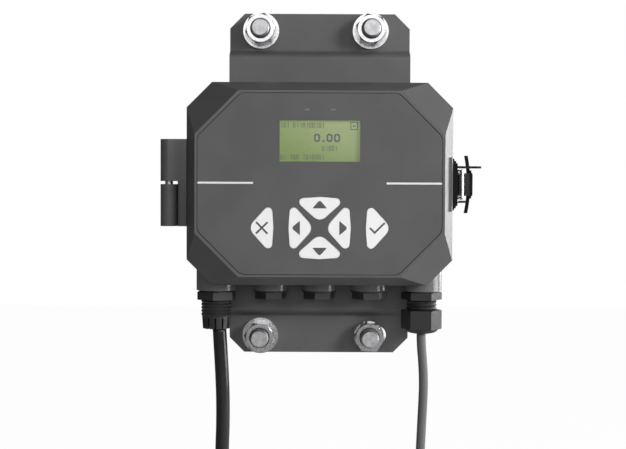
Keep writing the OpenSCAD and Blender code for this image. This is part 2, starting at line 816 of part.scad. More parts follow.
function line_length(line) = len(line) < 2 ? 0
    : let(steps = [for (i = [1 : len(line) - 1]) norm(line[i] - line[i - 1])]) steps * [for (s = steps) 1];

black_line = coil_line(black_route, black_d, black_coil_r, coil_turns_black, -1, black_end_run);
grey_line = coil_line(grey_route, grey_d, grey_coil_r, coil_turns_grey, 1, grey_end_run);
echo(black_gap = least_gap(black_line, black_d));
echo(black_length = line_length(black_line) + line_length(lift(black_route)));
echo(grey_gap = least_gap(grey_line, grey_d));
echo(grey_length = line_length(grey_line) + line_length(lift(grey_route)));

// Ends of the straight length of a cable inside its gland, which carries on the route's first stretch
function lead_mouth(route) = [route[0][0], entry_y, route[0][1]];
function lead_top(route) =
    let(way = unit(route[0] - route[1]))
    [route[0][0] + way[0] * (lead_top_z - route[0][1]), entry_y, lead_top_z];

module lead_in_black() {
    color(black) meter() rod(lead_mouth(black_route), lead_top(black_route), black_d);
}

module lead_in_grey() {
    color("gray") meter() rod(lead_mouth(grey_route), lead_top(grey_route), grey_d);
}

// Cores from the end of a cable to holes of a terminal block, the farthest hole first.
// They start just clear of the sheath's end, which can slant with the cable.
core_clear = 0.2;
module cores(top, block_x, holes) {
    last = len(holes) - 1;
    for (i = [0 : last]) {
        hole_x = block_x + (holes[i] - (terminal_count - 1) / 2) * terminal_pitch;
        start = top + [(last / 2 - i) * core_d * 1.1 * sign(hole_x - top[0]), 0, core_clear];
        first_bend = start + [0, 0, core_d * (i + 1)];
        last_bend = [hole_x, terminal_y, terminal_z - core_d * 2];
        tube([start, first_bend, last_bend, last_bend + [0, 0, core_d * 2 + terminal_size[2] / 3]], core_d, 8);
    }
}

module cores_black() {
    color("white") meter() cores(lead_top(black_route), terminal_xs[0], [1, 0]);
}

module cores_grey() {
    color("brown") meter() cores(lead_top(grey_route), terminal_xs[2], [2, 3, 4]);
}

module cable_black() {
    color(black) meter() tube(lift(black_route), black_d, 12);
}

module coil_black() {
    color(black) meter() tube(black_line, black_d, 6);
}

module cable_grey() {
    color("gray") meter() tube(lift(grey_route), grey_d, 12);
}

module coil_grey() {
    color("gray") meter() tube(grey_line, grey_d, 6);
}

tie_w = 4.6;
tie_t = 1.2;
tie_gap = 0.3;

// Bands round the turns of a coil, at the angles given. Each is as wide as the turns are there.
module coil_ties(line, d, angles) {
    turns = [for (i = [1 : len(line) - 2]) [line[i][0], line[i][2]]];
    middle = [
        (max([for (p = turns) p[0]]) + min([for (p = turns) p[0]])) / 2,
        (max([for (p = turns) p[1]]) + min([for (p = turns) p[1]])) / 2
    ];
    pitch = d + turn_gap;
    corner = d / 2;
    for (a = angles) {
        here = [for (p = turns - [for (p = turns) middle])
            if (p * [cos(a), sin(a)] > norm(p) * cos(10)) norm(p)];
        low = [min(here) - d / 2 - tie_gap, -d / 2 - tie_gap];
        size = [max(here) + d / 2 + tie_gap - low[0], pitch + d + tie_gap * 2];
        edge = [tie_t, tie_t];
        inside = [low, low + [size[0], 0], low + size, low + [0, size[1]]];
        outside = [
            low - edge, low + [size[0] + tie_t, -tie_t], low + size + edge, low + [-tie_t, size[1] + tie_t]
        ];
        translate([middle[0], entry_y, middle[1]]) rotate([0, -a, 0])
            translate([0, 0, -tie_w / 2]) linear_extrude(tie_w) difference() {
                union() {
                    polygon(rounded_outline(outside, [for (i = [0 : 3]) corner + tie_t], 5));
                    translate(low + [size[0], size[1] / 3]) square([tie_t * 3, tie_w]);
                }
                polygon(rounded_outline(inside, [for (i = [0 : 3]) corner], 5));
            }
    }
}

module ties_black() {
    color(dark_grey) meter() coil_ties(black_line, black_d, [30, 210]);
}

module ties_grey() {
    color(dark_grey) meter() coil_ties(grey_line, grey_d, [150, 330]);
}

plug_neck_d = 10.2;
plug_boot_l = 14;
plug_boot_d = 11;
plug_body_l = 16;
plug_body_d = 15;
plug_collar_l = 12;
plug_collar_d = 17;
plug_pin_d = 12;
plug_pin_l = 5;
plug_pitch = 2;

module transducer_plug() {
    end = black_line[len(black_line) - 1];
    way = unit(end - black_line[len(black_line) - 2]);
    color("silver") meter() translate(end)
        rotate([0, acos(way[2]), atan2(way[1], way[0])]) {
            cylinder(d1 = plug_neck_d, d2 = plug_boot_d, h = plug_boot_l);
            translate([0, 0, plug_boot_l]) cylinder(d = plug_body_d, h = plug_body_l);
            translate([0, 0, plug_boot_l + plug_body_l])
                screwed(plug_collar_d / 2, plug_collar_l, plug_pitch);
            translate([0, 0, plug_boot_l + plug_body_l + plug_collar_l])
                cylinder(d = plug_pin_d, h = plug_pin_l);
        }
}

core_end_l = 20;
sleeve_l = 8;
sleeve_d = 2.2;

module core_ends_grey() {
    end = grey_line[len(grey_line) - 1];
    way = unit(end - grey_line[len(grey_line) - 2]);
    color("brown") meter() translate(end) rotate([0, acos(way[2]), atan2(way[1], way[0])])
        for (a = [0, 120, 240]) rotate([0, 0, a]) translate([grey_d / 4, 0, 0]) {
            cylinder(d = core_d, h = core_end_l);
            translate([0, 0, core_end_l]) cylinder(d = sleeve_d, h = sleeve_l);
        }
}

// Hinge

hinge_x = -case_w / 2 - hinge_out;
hinge_y = split_y - hinge_front;
hinge_z = 0.5;
knuckle_r = knuckle_d / 2;
leaf_t = 3;
leaf_gap = 0.5;
block_w = hinge_out - knuckle_r - leaf_gap;
hinge_screw_d = 4;
hinge_screw_back = 12;
hinge_screw_y = split_y + hinge_screw_back;
fixed_screw_rise = 17;
hinge_screw_zs = [hinge_z - fixed_screw_rise, hinge_z + fixed_screw_rise];
leaf_end_gap = 2;
strap_t = 4;
strap_corner = 1;
web_t = 6.4;

module knuckle_bore() {
    translate([hinge_x, hinge_y]) circle(d = hinge_pin_d + pin_gap * 2);
}

module hinge_fixed_leaf() {
    side_x = -case_w / 2 + housing_inset;
    plate_x = side_x - leaf_t;
    left_x = hinge_x - knuckle_r;
    strap_back = split_y + strap_t;
    strap = [
        [left_x, hinge_y], [left_x + strap_t, hinge_y], [left_x + strap_t, strap_back - strap_t],
        [side_x, strap_back - strap_t], [side_x, strap_back], [left_x, strap_back]
    ];
    color(case_grey) meter() difference() {
        union() {
            standing(hinge_z - hinge_h / 2, hinge_h) translate([plate_x, strap_back - strap_t])
                square([leaf_t, case_back_y - back_chamfer - leaf_end_gap - strap_back + strap_t]);
            standing(hinge_z - hinge_h / 2, (hinge_h - knuckle_gap) / 2) {
                polygon(rounded_outline(strap, [0, 0, strap_corner, 0, 0, strap_t], 5));
                translate([hinge_x, hinge_y]) circle(r = knuckle_r);
            }
        }
        standing(hinge_z - hinge_h, hinge_h * 2) knuckle_bore();
        for (z = hinge_screw_zs) translate([plate_x - over, hinge_screw_y, z]) rotate([0, 90, 0])
            cylinder(d = hinge_screw_d + fit_gap, h = leaf_t + over * 2);
    }
}

// How far the moving leaf's screws lie behind the web's back face, and above and below the hinge's middle
moving_screw_back = 1.2;
moving_screw_y = hinge_y + web_t / 2 + moving_screw_back;
moving_screw_rise = 21;
moving_screw_zs = [hinge_z - moving_screw_rise, hinge_z + moving_screw_rise];
block_end_gap = 1;
block_corner = 1.5;

module hinge_moving_leaf() {
    side_x = -case_w / 2;
    block_x = side_x - block_w;
    back = cover_back_y - block_end_gap;
    front = hinge_y - knuckle_r;
    block = [[side_x, front], [side_x, back], [block_x, back], [block_x, front]];
    color(case_grey) meter() difference() {
        union() {
            standing(hinge_z - hinge_h / 2, hinge_h)
                polygon(rounded_outline(block, [0, 0, block_corner, block_corner], 4));
            standing(hinge_z + knuckle_gap / 2, (hinge_h - knuckle_gap) / 2) {
                translate([hinge_x, front])
                    square([hinge_out - block_w + block_corner, knuckle_r + web_t / 2]);
                translate([hinge_x, hinge_y]) circle(r = knuckle_r);
            }
        }
        standing(hinge_z - hinge_h, hinge_h * 2) knuckle_bore();
        for (z = moving_screw_zs) translate([block_x + leaf_t / 2, moving_screw_y, z]) rotate([0, 90, 0])
            cylinder(d = hinge_screw_d + fit_gap, h = block_w);
    }
}

module hinge_pin() {
    color(zinc) meter() translate([hinge_x, hinge_y, hinge_z - hinge_h / 2])
        cylinder(d = hinge_pin_d, h = hinge_h);
}

module hinge_screws_fixed() {
    side_x = -case_w / 2 + housing_inset - leaf_t;
    color(zinc) meter() for (z = hinge_screw_zs)
        translate([side_x, hinge_screw_y, z]) rotate([0, 90, 0])
            pan_screw(hinge_screw_d * 1.8, hinge_screw_d / 2, hinge_screw_d, leaf_t + wall);
}

module hinge_screws_moving() {
    color(zinc) meter() for (z = moving_screw_zs)
        translate([-case_w / 2 + wall, moving_screw_y, z]) rotate([0, -90, 0])
            pan_screw(hinge_screw_d * 1.5, hinge_screw_d / 2, hinge_screw_d, wall + block_w - leaf_t);
}

// Latch. The lever turns on the ears of its base, and the bail turns on the lever.

side_x = case_w / 2;
base_x = side_x - housing_inset;
base_t = 1;
lever_pin_d = 2.5;
// Places across the latch: out from the cover's side, and back from the housing's front edge
lever_pin_out = 3;
lever_pin_back = 5.15;
bail_pin_out = 5.6;
bail_pin_back = 13.15;
bail_bar_out = 6.3;
bail_bar_front = 9.45;
eye_out = 17.1;
eye_back = 13.15;
stop_out = 9.3;
stop_back = 10;
lever_out = 9.5;
lever_plate_out = 14.9;
grip_out = 16.2;
lever_end_back = 30.65;
wing_back = 24.6;
first_rivet_back = 11;
rivet_spacing = 10;
lever_pin = [side_x + lever_pin_out, split_y + lever_pin_back];
bail_pin = [side_x + bail_pin_out, split_y + bail_pin_back];
bail_bar = [side_x + bail_bar_out, split_y - bail_bar_front];
eye = [side_x + eye_out, split_y + eye_back];
eye_wall = 1.4;
cheek_r = 2.2;
cheek_t = 1.5;
cheek_z = 5.9;
lever_corner = 1;
lever_x = side_x + lever_out;
lever_plate_x = side_x + lever_plate_out;
lever_start_gap = 3.2;
lever_start_y = bail_pin[1] + lever_start_gap;
lever_end_y = split_y + lever_end_back;
base_end_gap = 5.6;
ear_rim = 0.2;
eye_foot = 4.5;
stop_r = 1.6;
plain_foot = 8;
// How far the lever's upper and lower ends are drawn in towards the box
lever_bow = 1.9;
// The lever's wings start above and below this height and lie behind the ears
wing_z = 9.2;
lever_web_t = 1.2;
lever_steps = 8;
grip_half_h = 7.7;
grip_corner = 1.2;
bail_side_gap = 0.2;
bail_hook = 1;
bail_z = cheek_z + cheek_t + bail_d / 2 + bail_side_gap;
base_corner_r = 0.3;
rivet_d = 3;
latch_rivet_ys = [for (i = [0, 1]) split_y + first_rivet_back + i * rivet_spacing];

module latch_base() {
    corner_x = base_x + base_corner_r;
    front_corner = [corner_x, lever_pin[1] - cheek_r, base_corner_r];
    pin_round = [lever_pin[0], lever_pin[1], cheek_r + ear_rim];
    eye_round = [eye[0], eye[1], padlock_d / 2 + eye_wall];
    stop_round = [side_x + stop_out, split_y + stop_back, stop_r];
    color(black) meter() difference() {
        union() {
            translate([base_x, front_corner[1] - base_corner_r, -ear_z - ear_t * 2])
                cube([base_t, lever_end_y - front_corner[1] - base_end_gap, (ear_z + ear_t * 2) * 2]);
            standing(ear_z - ear_t / 2, ear_t) polygon(wrapped_outline(
                [front_corner, pin_round, eye_round, [corner_x, eye[1] + eye_foot, base_corner_r]], 6));
            standing(-ear_z - ear_t / 2, ear_t) polygon(wrapped_outline(
                [front_corner, pin_round, stop_round,
                [corner_x, lever_pin[1] + plain_foot, base_corner_r]], 6));
        }
        standing(-ear_z * 2, ear_z * 4) translate(lever_pin) circle(d = lever_pin_d + pin_gap * 2);
        standing(0, ear_z * 2) translate(eye) circle(d = padlock_d);
        for (y = latch_rivet_ys) translate([base_x - over, y, 0]) rotate([0, 90, 0])
            cylinder(d = rivet_d + fit_gap, h = base_t + over * 2);
    }
}

module latch_rivets() {
    color(zinc) meter() for (y = latch_rivet_ys) translate([base_x + base_t, y, 0]) rotate([0, -90, 0])
        pan_screw(rivet_d * 1.6, rivet_d / 3, rivet_d, base_t + wall);
}

module latch_pin() {
    color(zinc) meter() translate([lever_pin[0], lever_pin[1], -ear_z - ear_t])
        cylinder(d = lever_pin_d, h = (ear_z + ear_t) * 2);
}

// Outline of X and Z of one face of the lever's bowed plate, from its lower end to its upper end
function lever_bow_line(x) =
    [for (i = [-lever_steps : lever_steps]) let(share = i / lever_steps)
        [x - lever_bow * share ^ 2, lever_half_h * share]];
function reversed(points) = [for (i = [1 : len(points)]) points[len(points) - i]];

module latch_lever() {
    front = [lever_plate_x - lever_corner, lever_start_y + lever_corner];
    cheek = wrapped_outline([
        [lever_pin[0], lever_pin[1], cheek_r],
        [front[0], front[1], lever_corner],
        [lever_plate_x - lever_corner, lever_end_y - lever_corner, lever_corner],
        [lever_x + lever_corner, lever_end_y - lever_corner, lever_corner]
    ], 5);
    length = lever_end_y - lever_start_y;
    way = unit(front - lever_pin);
    out = [way[1], -way[0]];
    web = [
        lever_pin + out * (lever_corner - lever_web_t), lever_pin + out * lever_corner,
        front + out * lever_corner, front + out * (lever_corner - lever_web_t)
    ];
    grip_x = side_x + grip_out;
    grip = [
        [lever_plate_x, -grip_half_h], [grip_x, -grip_half_h],
        [grip_x, grip_half_h], [lever_plate_x, grip_half_h]
    ];
    color(black) meter() difference() {
        union() {
            for (z = [cheek_z, -cheek_z - cheek_t]) standing(z, cheek_t) polygon(cheek);
            standing(-cheek_z - cheek_t / 2, cheek_z * 2 + cheek_t) polygon(web);
            facing(lever_end_y, length) polygon(concat(
                lever_bow_line(lever_plate_x + lever_t / 2),
                reversed(lever_bow_line(lever_plate_x - lever_t / 2))
            ));
            facing(lever_end_y, length) polygon(rounded_outline(grip, [0, grip_corner, grip_corner, 0], 4));
        }
        standing(-ear_z * 2, ear_z * 4) {
            translate(lever_pin) circle(d = lever_pin_d + pin_gap * 2);
            translate(bail_pin) circle(d = bail_d + pin_gap * 2);
        }
        for (z = [-lever_half_h - over, wing_z]) translate([lever_x, lever_start_y - over, z])
            cube([
                lever_plate_x - lever_x + lever_t,
                split_y + wing_back - lever_start_y + over,
                lever_half_h + over - wing_z
            ]);
    }
}

module latch_bail() {
    color(zinc) meter() {
        for (s = [-1, 1]) {
            hook = [bail_pin[0], bail_pin[1], s * bail_z];
            corner = [bail_bar[0], bail_bar[1], s * bail_z];
            rod(hook, corner, bail_d);
            rod([hook[0], hook[1], s * (cheek_z - bail_hook)], hook, bail_d);
            translate(hook) sphere(d = bail_d);
            translate(corner) sphere(d = bail_d);
        }
        translate([bail_bar[0], bail_bar[1], -bail_z]) cylinder(d = bail_d, h = bail_z * 2);
    }
}

keeper_t = 3.4;
keeper_half_h = 16.4;
keeper_layers = 3;
keeper_step = 1.4;
keeper_edge = 0.75;
keeper_corner = 1.4;
keeper_lip_half_h = 6.4;
keeper_lip_out = 4.8;
keeper_lip_front = 6.45;
keeper_lip_t = 1.6;
keeper_back_gap = 1.2;
keeper_front_gap = 1;
keeper_rivet_front = 3.6;
keeper_lip_y = split_y - keeper_lip_front;
keeper_start_y = cover_back_y - keeper_back_gap;
keeper_end_y = edge_y + keeper_front_gap;
keeper_rivet_y = split_y - keeper_rivet_front;
keeper_rivet_z = 10.5;

module latch_keeper() {
    depth = keeper_start_y - keeper_end_y;
    color(black) meter() difference() {
        union() {
            for (i = [0 : keeper_layers - 1]) translate([side_x, keeper_end_y + depth / 2, 0])
                rotate([0, 90, 0]) linear_extrude(keeper_t * (i + 1) / keeper_layers) polygon(cut_rectangle(
                    (keeper_half_h - keeper_step * i) * 2, depth - keeper_edge * i * 2, keeper_corner));
            translate([side_x, keeper_lip_y - keeper_lip_t, -keeper_lip_half_h])
                cube([keeper_lip_out, keeper_lip_t, keeper_lip_half_h * 2]);
        }
        for (z = [-keeper_rivet_z, keeper_rivet_z]) translate([side_x - over, keeper_rivet_y, z])
            rotate([0, 90, 0]) cylinder(d = rivet_d / 2 + fit_gap, h = keeper_t + over * 2);
    }
}

module keeper_rivets() {
    color(zinc) meter() for (z = [-keeper_rivet_z, keeper_rivet_z])
        translate([side_x + keeper_t, keeper_rivet_y, z]) rotate([0, -90, 0])
            pan_screw(rivet_d, rivet_d / 4, rivet_d / 2, keeper_t + wall);
}

// Cover and what it carries

land_half_h = 17;
land_depth = 7;
land_step = 1.2;
gasket_w = 1.4;
gasket_t = 1.5;
gasket_edge = (wall - gasket_w) / 2;
display_post_d = 7;
display_board_w = 124;
display_board_h = 96;
display_post_x = 55;
display_post_z = 42;
display_post_h = 5.4;
display_board_y = inner_y + display_post_h;
display_posts = [for (x = [-display_post_x, display_post_x], z = [-display_post_z, display_post_z]) [x, z]];

// Key places [x, z, turn], from the keypad's middle. A turn of zero has the tip down.
key_up_place = [0, key_ring, 0];
key_down_place = [0, -key_ring, 180];
key_left_place = [-key_ring, 0, 90];
key_right_place = [key_ring, 0, -90];
key_cancel_place = [-key_outer, 0, -90];
key_enter_place = [key_outer, 0, 90];
key_places = [key_up_place, key_down_place, key_left_place, key_right_place, key_cancel_place, key_enter_place];
key_base_r = 2.6;
key_tip_r = 5.5;
key_bulge = 0.7;
key_bulge_r = 7;
key_flange = 0.9;
key_flange_t = 0.8;

// Outline of a key with its tip down, grown by a margin all round
module key_outline(margin) {
    half = key_w / 2 - key_base_r;
    high = key_d / 2 - key_bulge - key_base_r;
    polygon(wrapped_outline([
        [0, key_tip_r - key_d / 2, key_tip_r + margin], [half, high, key_base_r + margin],
        [0, key_d / 2 - key_bulge_r, key_bulge_r + margin], [-half, high, key_base_r + margin]
    ], 6));
}

module at_key(place) {
    translate([place[0], place[1] - keypad_drop]) rotate(place[2]) children();
}

module cover() {
    cavity = case_halves - wall_halves;
    cavity_end = face_halves - wall_halves;
    opening = panel_gap * 2;
    color(case_grey) meter() difference() {
        union() {
            difference() {
                union() {
                    eight_sided(case_halves, face_halves, cover_back_y, edge_y, face_y);
                    translate([0, edge_y - land_depth, -land_half_h])
                        cube([side_x - land_step, cover_back_y - edge_y + land_depth, land_half_h * 2]);
                }
                eight_sided(cavity, cavity_end, cover_back_y + over, edge_y, inner_y);
            }
            for (place = display_posts) translate([place[0], display_board_y, place[1]]) rotate([90, 0, 0])
                cylinder(d = display_post_d, h = display_post_h + face_t / 2);
        }
        facing(panel_back_y, panel_sink + over) polygon(rounded_outline(
            cut_rectangle(panel_w + opening, panel_h + opening, face_corner),
            [for (i = [0 : 7]) panel_corner_r], 4));
        facing(inner_y + over, face_t + over * 2) {
            translate([0, window_z]) square([window_w, window_h], center = true);
            for (x = [-lamp_x, lamp_x]) translate([x, lamp_z])
                square([lamp_w, lamp_h] + [opening, opening] / 2, center = true);
            for (place = key_places) at_key(place) key_outline(key_gap);
        }
        facing(cover_back_y + over, gasket_t + over) wall_ring(gasket_edge, gasket_edge + gasket_w);
        for (place = display_posts) translate([place[0], display_board_y + over, place[1]]) rotate([90, 0, 0])
            cylinder(d = post_screw_d + fit_gap, h = display_post_h + over);
        for (z = moving_screw_zs) translate([-case_w / 2 - over, moving_screw_y, z]) rotate([0, 90, 0])
            cylinder(d = hinge_screw_d + fit_gap, h = wall + over * 2);
        for (z = [-keeper_rivet_z, keeper_rivet_z]) translate([side_x - wall - over, keeper_rivet_y, z])
            rotate([0, 90, 0]) cylinder(d = rivet_d / 2 + fit_gap, h = wall + over * 2);
    }
}

module cover_gasket() {
    color(black) meter() facing(cover_back_y, gasket_t - fit_gap)
        wall_ring(gasket_edge + fit_gap, gasket_edge + gasket_w - fit_gap);
}

module front_panel() {
    color([0.33, 0.33, 0.34]) meter() difference() {
        facing(panel_back_y, panel_t) polygon(rounded_outline(
            cut_rectangle(panel_w, panel_h, face_corner), [for (i = [0 : 7]) panel_corner_r], 4));
        facing(panel_back_y + over, panel_t + over * 2) {
            translate([0, window_z]) square([window_w, window_h], center = true);
            for (x = [-lamp_x, lamp_x]) translate([x, lamp_z]) square([lamp_w, lamp_h], center = true);
            for (place = key_places) at_key(place) key_outline(key_gap);
        }
    }
}

module display_window() {
    color([0.6, 0.7, 0.4]) meter() facing(inner_y, panel_t + face_t - fit_gap)
        translate([0, window_z]) square([window_w, window_h] - [fit_gap, fit_gap] * 2, center = true);
}

display_rim = 4;

module display_module() {
    color("darkolivegreen") meter() difference() {
        facing(display_board_y, display_post_h - fit_gap) translate([0, window_z])
            square([window_w + display_rim * 2, window_h + display_rim * 2], center = true);
        facing(inner_y + fit_gap + panel_t, panel_t + over) translate([0, window_z])
            square([window_w, window_h], center = true);
    }
}

module display_board() {
    color(board_green) meter() difference() {
        facing(display_board_y + board_t, board_t) square([display_board_w, display_board_h], center = true);
        facing(display_board_y + board_t + over, board_t + over * 2)
            for (place = display_posts) translate(place) circle(d = post_screw_d + fit_gap * 2);
    }
}

module display_screws() {
    color(zinc) meter() for (place = display_posts)
        translate([place[0], display_board_y + board_t, place[1]]) rotate([90, 0, 0])
            pan_screw(board_screw_head_d, board_screw_head_h, post_screw_d,
                board_t + display_post_h - screw_skin);
}

mat_t = 1.2;
mat_margin = 1.2;
dome_d = 8;
dome_tip_d = 5;
dome_gap = 0.2;
dome_top_h = display_post_h - key_flange_t - pin_gap - key_travel - dome_gap;

module key_mat() {
    reach = key_outer + key_d / 2 + mat_margin;
    height = key_ring + key_d / 2 + mat_margin;
    color("lightgray") meter() {
        facing(display_board_y, mat_t) translate([0, -keypad_drop])
            polygon(cut_rectangle(reach * 2, height * 2, mat_margin));
        for (place = key_places)
            translate([place[0], display_board_y - mat_t, place[1] - keypad_drop]) rotate([90, 0, 0])
                cylinder(d1 = dome_d, d2 = dome_tip_d, h = dome_top_h - mat_t);
    }
}

module light_pipes() {
    color("honeydew") meter() for (x = [-lamp_x, lamp_x])
        facing(display_board_y, display_post_h + face_t + panel_t - fit_gap) translate([x, lamp_z])
            square([lamp_w, lamp_h] - [fit_gap, fit_gap], center = true);
}

module key(place) {
    flange_y = inner_y + pin_gap;
    color("white") meter() {
        facing(flange_y, panel_t + face_t + pin_gap + key_rise) at_key(place) key_outline(0);
        facing(flange_y + key_flange_t, key_flange_t) at_key(place) key_outline(key_flange);
    }
}

module key_up() {
    key(key_up_place);
}

module key_down() {
    key(key_down_place);
}

module key_left() {
    key(key_left_place);
}

module key_right() {
    key(key_right_place);
}

module key_cancel() {
    key(key_cancel_place);
}

module key_enter() {
    key(key_enter_place);
}

mounting_plate();
ubolt_upper();
ubolt_lower();
ubolt_nuts();
ubolt_washers();
ubolt_lock_washers();
housing();
plate_screws();
entry_seals();
entry_plugs();
gland_body_left();
gland_seal_left();
gland_body_right();
gland_seal_right();
gland_nut_right();
main_board();
board_screws();
power_module();
capacitors();
board_chips();
terminal_blocks();
cores_black();
cores_grey();
lead_in_black();
lead_in_grey();
cable_black();
coil_black();
ties_black();
transducer_plug();
cable_grey();
coil_grey();
ties_grey();
core_ends_grey();
hinge_fixed_leaf();
hinge_moving_leaf();
hinge_pin();
hinge_screws_fixed();
hinge_screws_moving();
latch_base();
latch_rivets();
latch_pin();
latch_lever();
latch_bail();
latch_keeper();
keeper_rivets();
cover();
cover_gasket();
front_panel();
display_window();
display_module();
display_board();
display_screws();
key_mat();
light_pipes();
key_up();
key_down();
key_left();
key_right();
key_cancel();
key_enter();
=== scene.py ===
"""Ultrasonic flow meter in a hinged case on a pole plate, dressed over its CAD frame."""

import logging
import math
from dataclasses import dataclass
from enum import Enum
from functools import cache
from typing import Any, Union

import bpy
import numpy as np
from mathutils import Euler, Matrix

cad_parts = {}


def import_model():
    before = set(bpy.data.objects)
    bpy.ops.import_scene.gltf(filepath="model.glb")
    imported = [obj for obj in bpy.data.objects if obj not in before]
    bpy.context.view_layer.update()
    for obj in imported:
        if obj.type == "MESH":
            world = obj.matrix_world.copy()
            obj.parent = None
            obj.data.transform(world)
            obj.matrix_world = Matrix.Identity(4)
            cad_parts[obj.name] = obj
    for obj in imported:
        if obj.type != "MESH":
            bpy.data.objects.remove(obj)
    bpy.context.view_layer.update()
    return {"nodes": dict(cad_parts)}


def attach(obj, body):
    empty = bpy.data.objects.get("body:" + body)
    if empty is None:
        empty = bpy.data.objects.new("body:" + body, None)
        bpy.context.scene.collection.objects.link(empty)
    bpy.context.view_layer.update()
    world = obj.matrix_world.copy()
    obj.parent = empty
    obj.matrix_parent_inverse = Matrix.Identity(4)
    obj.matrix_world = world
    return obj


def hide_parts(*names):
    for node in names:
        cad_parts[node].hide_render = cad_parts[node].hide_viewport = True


LOG = logging.getLogger("flow_meter")
MM = 0.001
FULL_TURN = 360.0
# How far right of the pole's axis the meter sits, in millimetres
METER_SHIFT = 2.7

Colour = tuple[float, float, float]
Tint = Union[Colour, bpy.types.NodeSocket]
Number = Union[float, "Value"]


# ---------------------------------------------------------------- shader maths


class Value:
    """A number that a socket gives out; arithmetic on it adds Math nodes."""

    def __init__(self, graph: "Graph", socket: bpy.types.NodeSocket) -> None:
        """Keeps the socket and the graph it belongs to."""
        self.graph = graph
        self.socket = socket

    def _math(self, operation: str, first: Number, second: Number = 0.0) -> "Value":
        """One Math node.

        Args:
            operation: name of the Math node's operation.
            first: first number or value.
            second: second number or value.

        Returns:
            The node's value.
        """
        made = self.graph.node("ShaderNodeMath", {"operation": operation}, {0: first, 1: second})
        return Value(self.graph, made.outputs[0])

    def __add__(self, other: Number) -> "Value":
        """Sum."""
        return self._math("ADD", self, other)

    __radd__ = __add__

    def __sub__(self, other: Number) -> "Value":
        """Difference."""
        return self._math("SUBTRACT", self, other)

    def __rsub__(self, other: Number) -> "Value":
        """Difference from a number on the left."""
        return self._math("SUBTRACT", other, self)

    def __mul__(self, other: Number) -> "Value":
        """Product."""
        return self._math("MULTIPLY", self, other)

    __rmul__ = __mul__

    def size(self) -> "Value":
        """Absolute value."""
        return self._math("ABSOLUTE", self)

    def sine(self) -> "Value":
        """Sine of the value in radians."""
        return self._math("SINE", self)

    def root(self) -> "Value":
        """Square root."""
        return self._math("SQRT", self)

    def repeat(self, length: float) -> "Value":
        """Distance to the nearest whole multiple of a length, from 0 to half of it."""
        return self._math("PINGPONG", self, length / 2)

    def least(self, other: Number) -> "Value":
        """Smaller of the two."""
        return self._math("MINIMUM", self, other)

    def most(self, other: Number) -> "Value":
        """Larger of the two."""
        return self._math("MAXIMUM", self, other)

    def ramp(self, low: float, high: float) -> "Value":
        """0 below low, 1 above high and a smooth rise between them.

        Args:
            low: where the rise starts.
            high: where it ends.

        Returns:
            The risen value.
        """
        made = self.graph.node(
            "ShaderNodeMapRange", {"interpolation_type": "SMOOTHSTEP"},
            {"Value": self, "From Min": low, "From Max": high})
        return Value(self.graph, made.outputs[0])

    def between(self, low: float, high: float, soft: float) -> "Value":
        """1 between two limits and 0 outside them, with a smooth change round each.

        Args:
            low: the lower limit.
            high: the upper limit.
            soft: half the width of each change.

        Returns:
            The share inside the limits.
        """
        return self.ramp(low - soft, low + soft) * (1 - self.ramp(high - soft, high + soft))


class Graph:
    """The node tree of a material or of the world."""

    def __init__(self, tree: bpy.types.NodeTree) -> None:
        """Empties the tree."""
        self.tree = tree
        tree.nodes.clear()

    def node(self, kind: str, settings: dict[str, Any], inputs: dict[Any, Any]) -> bpy.types.Node:
        """Makes any node.

        Args:
            kind: the node's type.
            settings: its own settings, which are set first.
            inputs: values or links of its sockets, by name or number.

        Returns:
            The node.
        """
        made = self.tree.nodes.new(kind)
        for name, setting in settings.items():
            setattr(made, name, setting)
        for name, given in inputs.items():
            if isinstance(given, Value):
                given = given.socket
            if isinstance(given, bpy.types.NodeSocket):
                self.tree.links.new(given, made.inputs[name])
            else:
                made.inputs[name].default_value = given
        return made

    def noise(self, vector: bpy.types.NodeSocket, grain: float, detail: float) -> Value:
        """Soft noise.

        Args:
            vector: where it is read.
            grain: size of its lumps in metres.
            detail: how many finer layers it has.

        Returns:
            A value about 0.5, mostly between 0.3 and 0.7.
        """
        made = self.node(
            "ShaderNodeTexNoise", {}, {"Vector": vector, "Scale": 1 / grain, "Detail": detail})
        return Value(self, made.outputs["Fac"])

    def blend(self, share: Number, first: Tint, second: Tint) -> bpy.types.NodeSocket:
        """Mixes two colours.

        Args:
            share: share of the second colour.
            first: a colour or a link.
            second: a colour or a link.

        Returns:
            The mixed colour.
        """
        made = self.node("ShaderNodeMix", {"data_type": "RGBA"}, {0: share})
        for number, given in ((6, first), (7, second)):
            if isinstance(given, bpy.types.NodeSocket):
                self.tree.links.new(given, made.inputs[number])
            else:
                made.inputs[number].default_value = (*given, 1.0)
        return made.outputs[2]

    def bump(self, height: Value, depth: float) -> bpy.types.NodeSocket:
        """Normal of a relief.

        Args:
            height: height from 0 to 1.
            depth: depth of the relief in metres.

        Returns:
            The bent normal.
        """
        made = self.node(
            "ShaderNodeBump", {}, {"Height": height, "Distance": depth, "Strength": 1.0})
        return made.outputs["Normal"]


@dataclass(frozen=True)
class Place:
    """Object coordinates in metres that a finish reads, as one vector and as x, y and z."""

    graph: Graph
    vector: bpy.types.NodeSocket
    x: Value
    y: Value
    z: Value

    @classmethod
    def read(cls, graph: Graph) -> "Place":
        """Adds the nodes that give the coordinates.

        Args:
            graph: the material's graph.

        Returns:
            The place.
        """
        vector = graph.node("ShaderNodeTexCoord", {}, {}).outputs["Object"]
        split = graph.node("ShaderNodeSeparateXYZ", {}, {0: vector})
        return cls(graph, vector, *(Value(graph, out) for out in split.outputs))

    def noise(self, grain: float, detail: float) -> Value:
        """Soft noise at the place, with lumps of a size in metres and so many finer layers."""
        return self.graph.noise(self.vector, grain, detail)


def shade(colour: Colour, factor: float) -> Colour:
    """A colour made lighter or darker by a factor."""
    return tuple(min(1.0, part * factor) for part in colour)


# ---------------------------------------------------------------- finishes


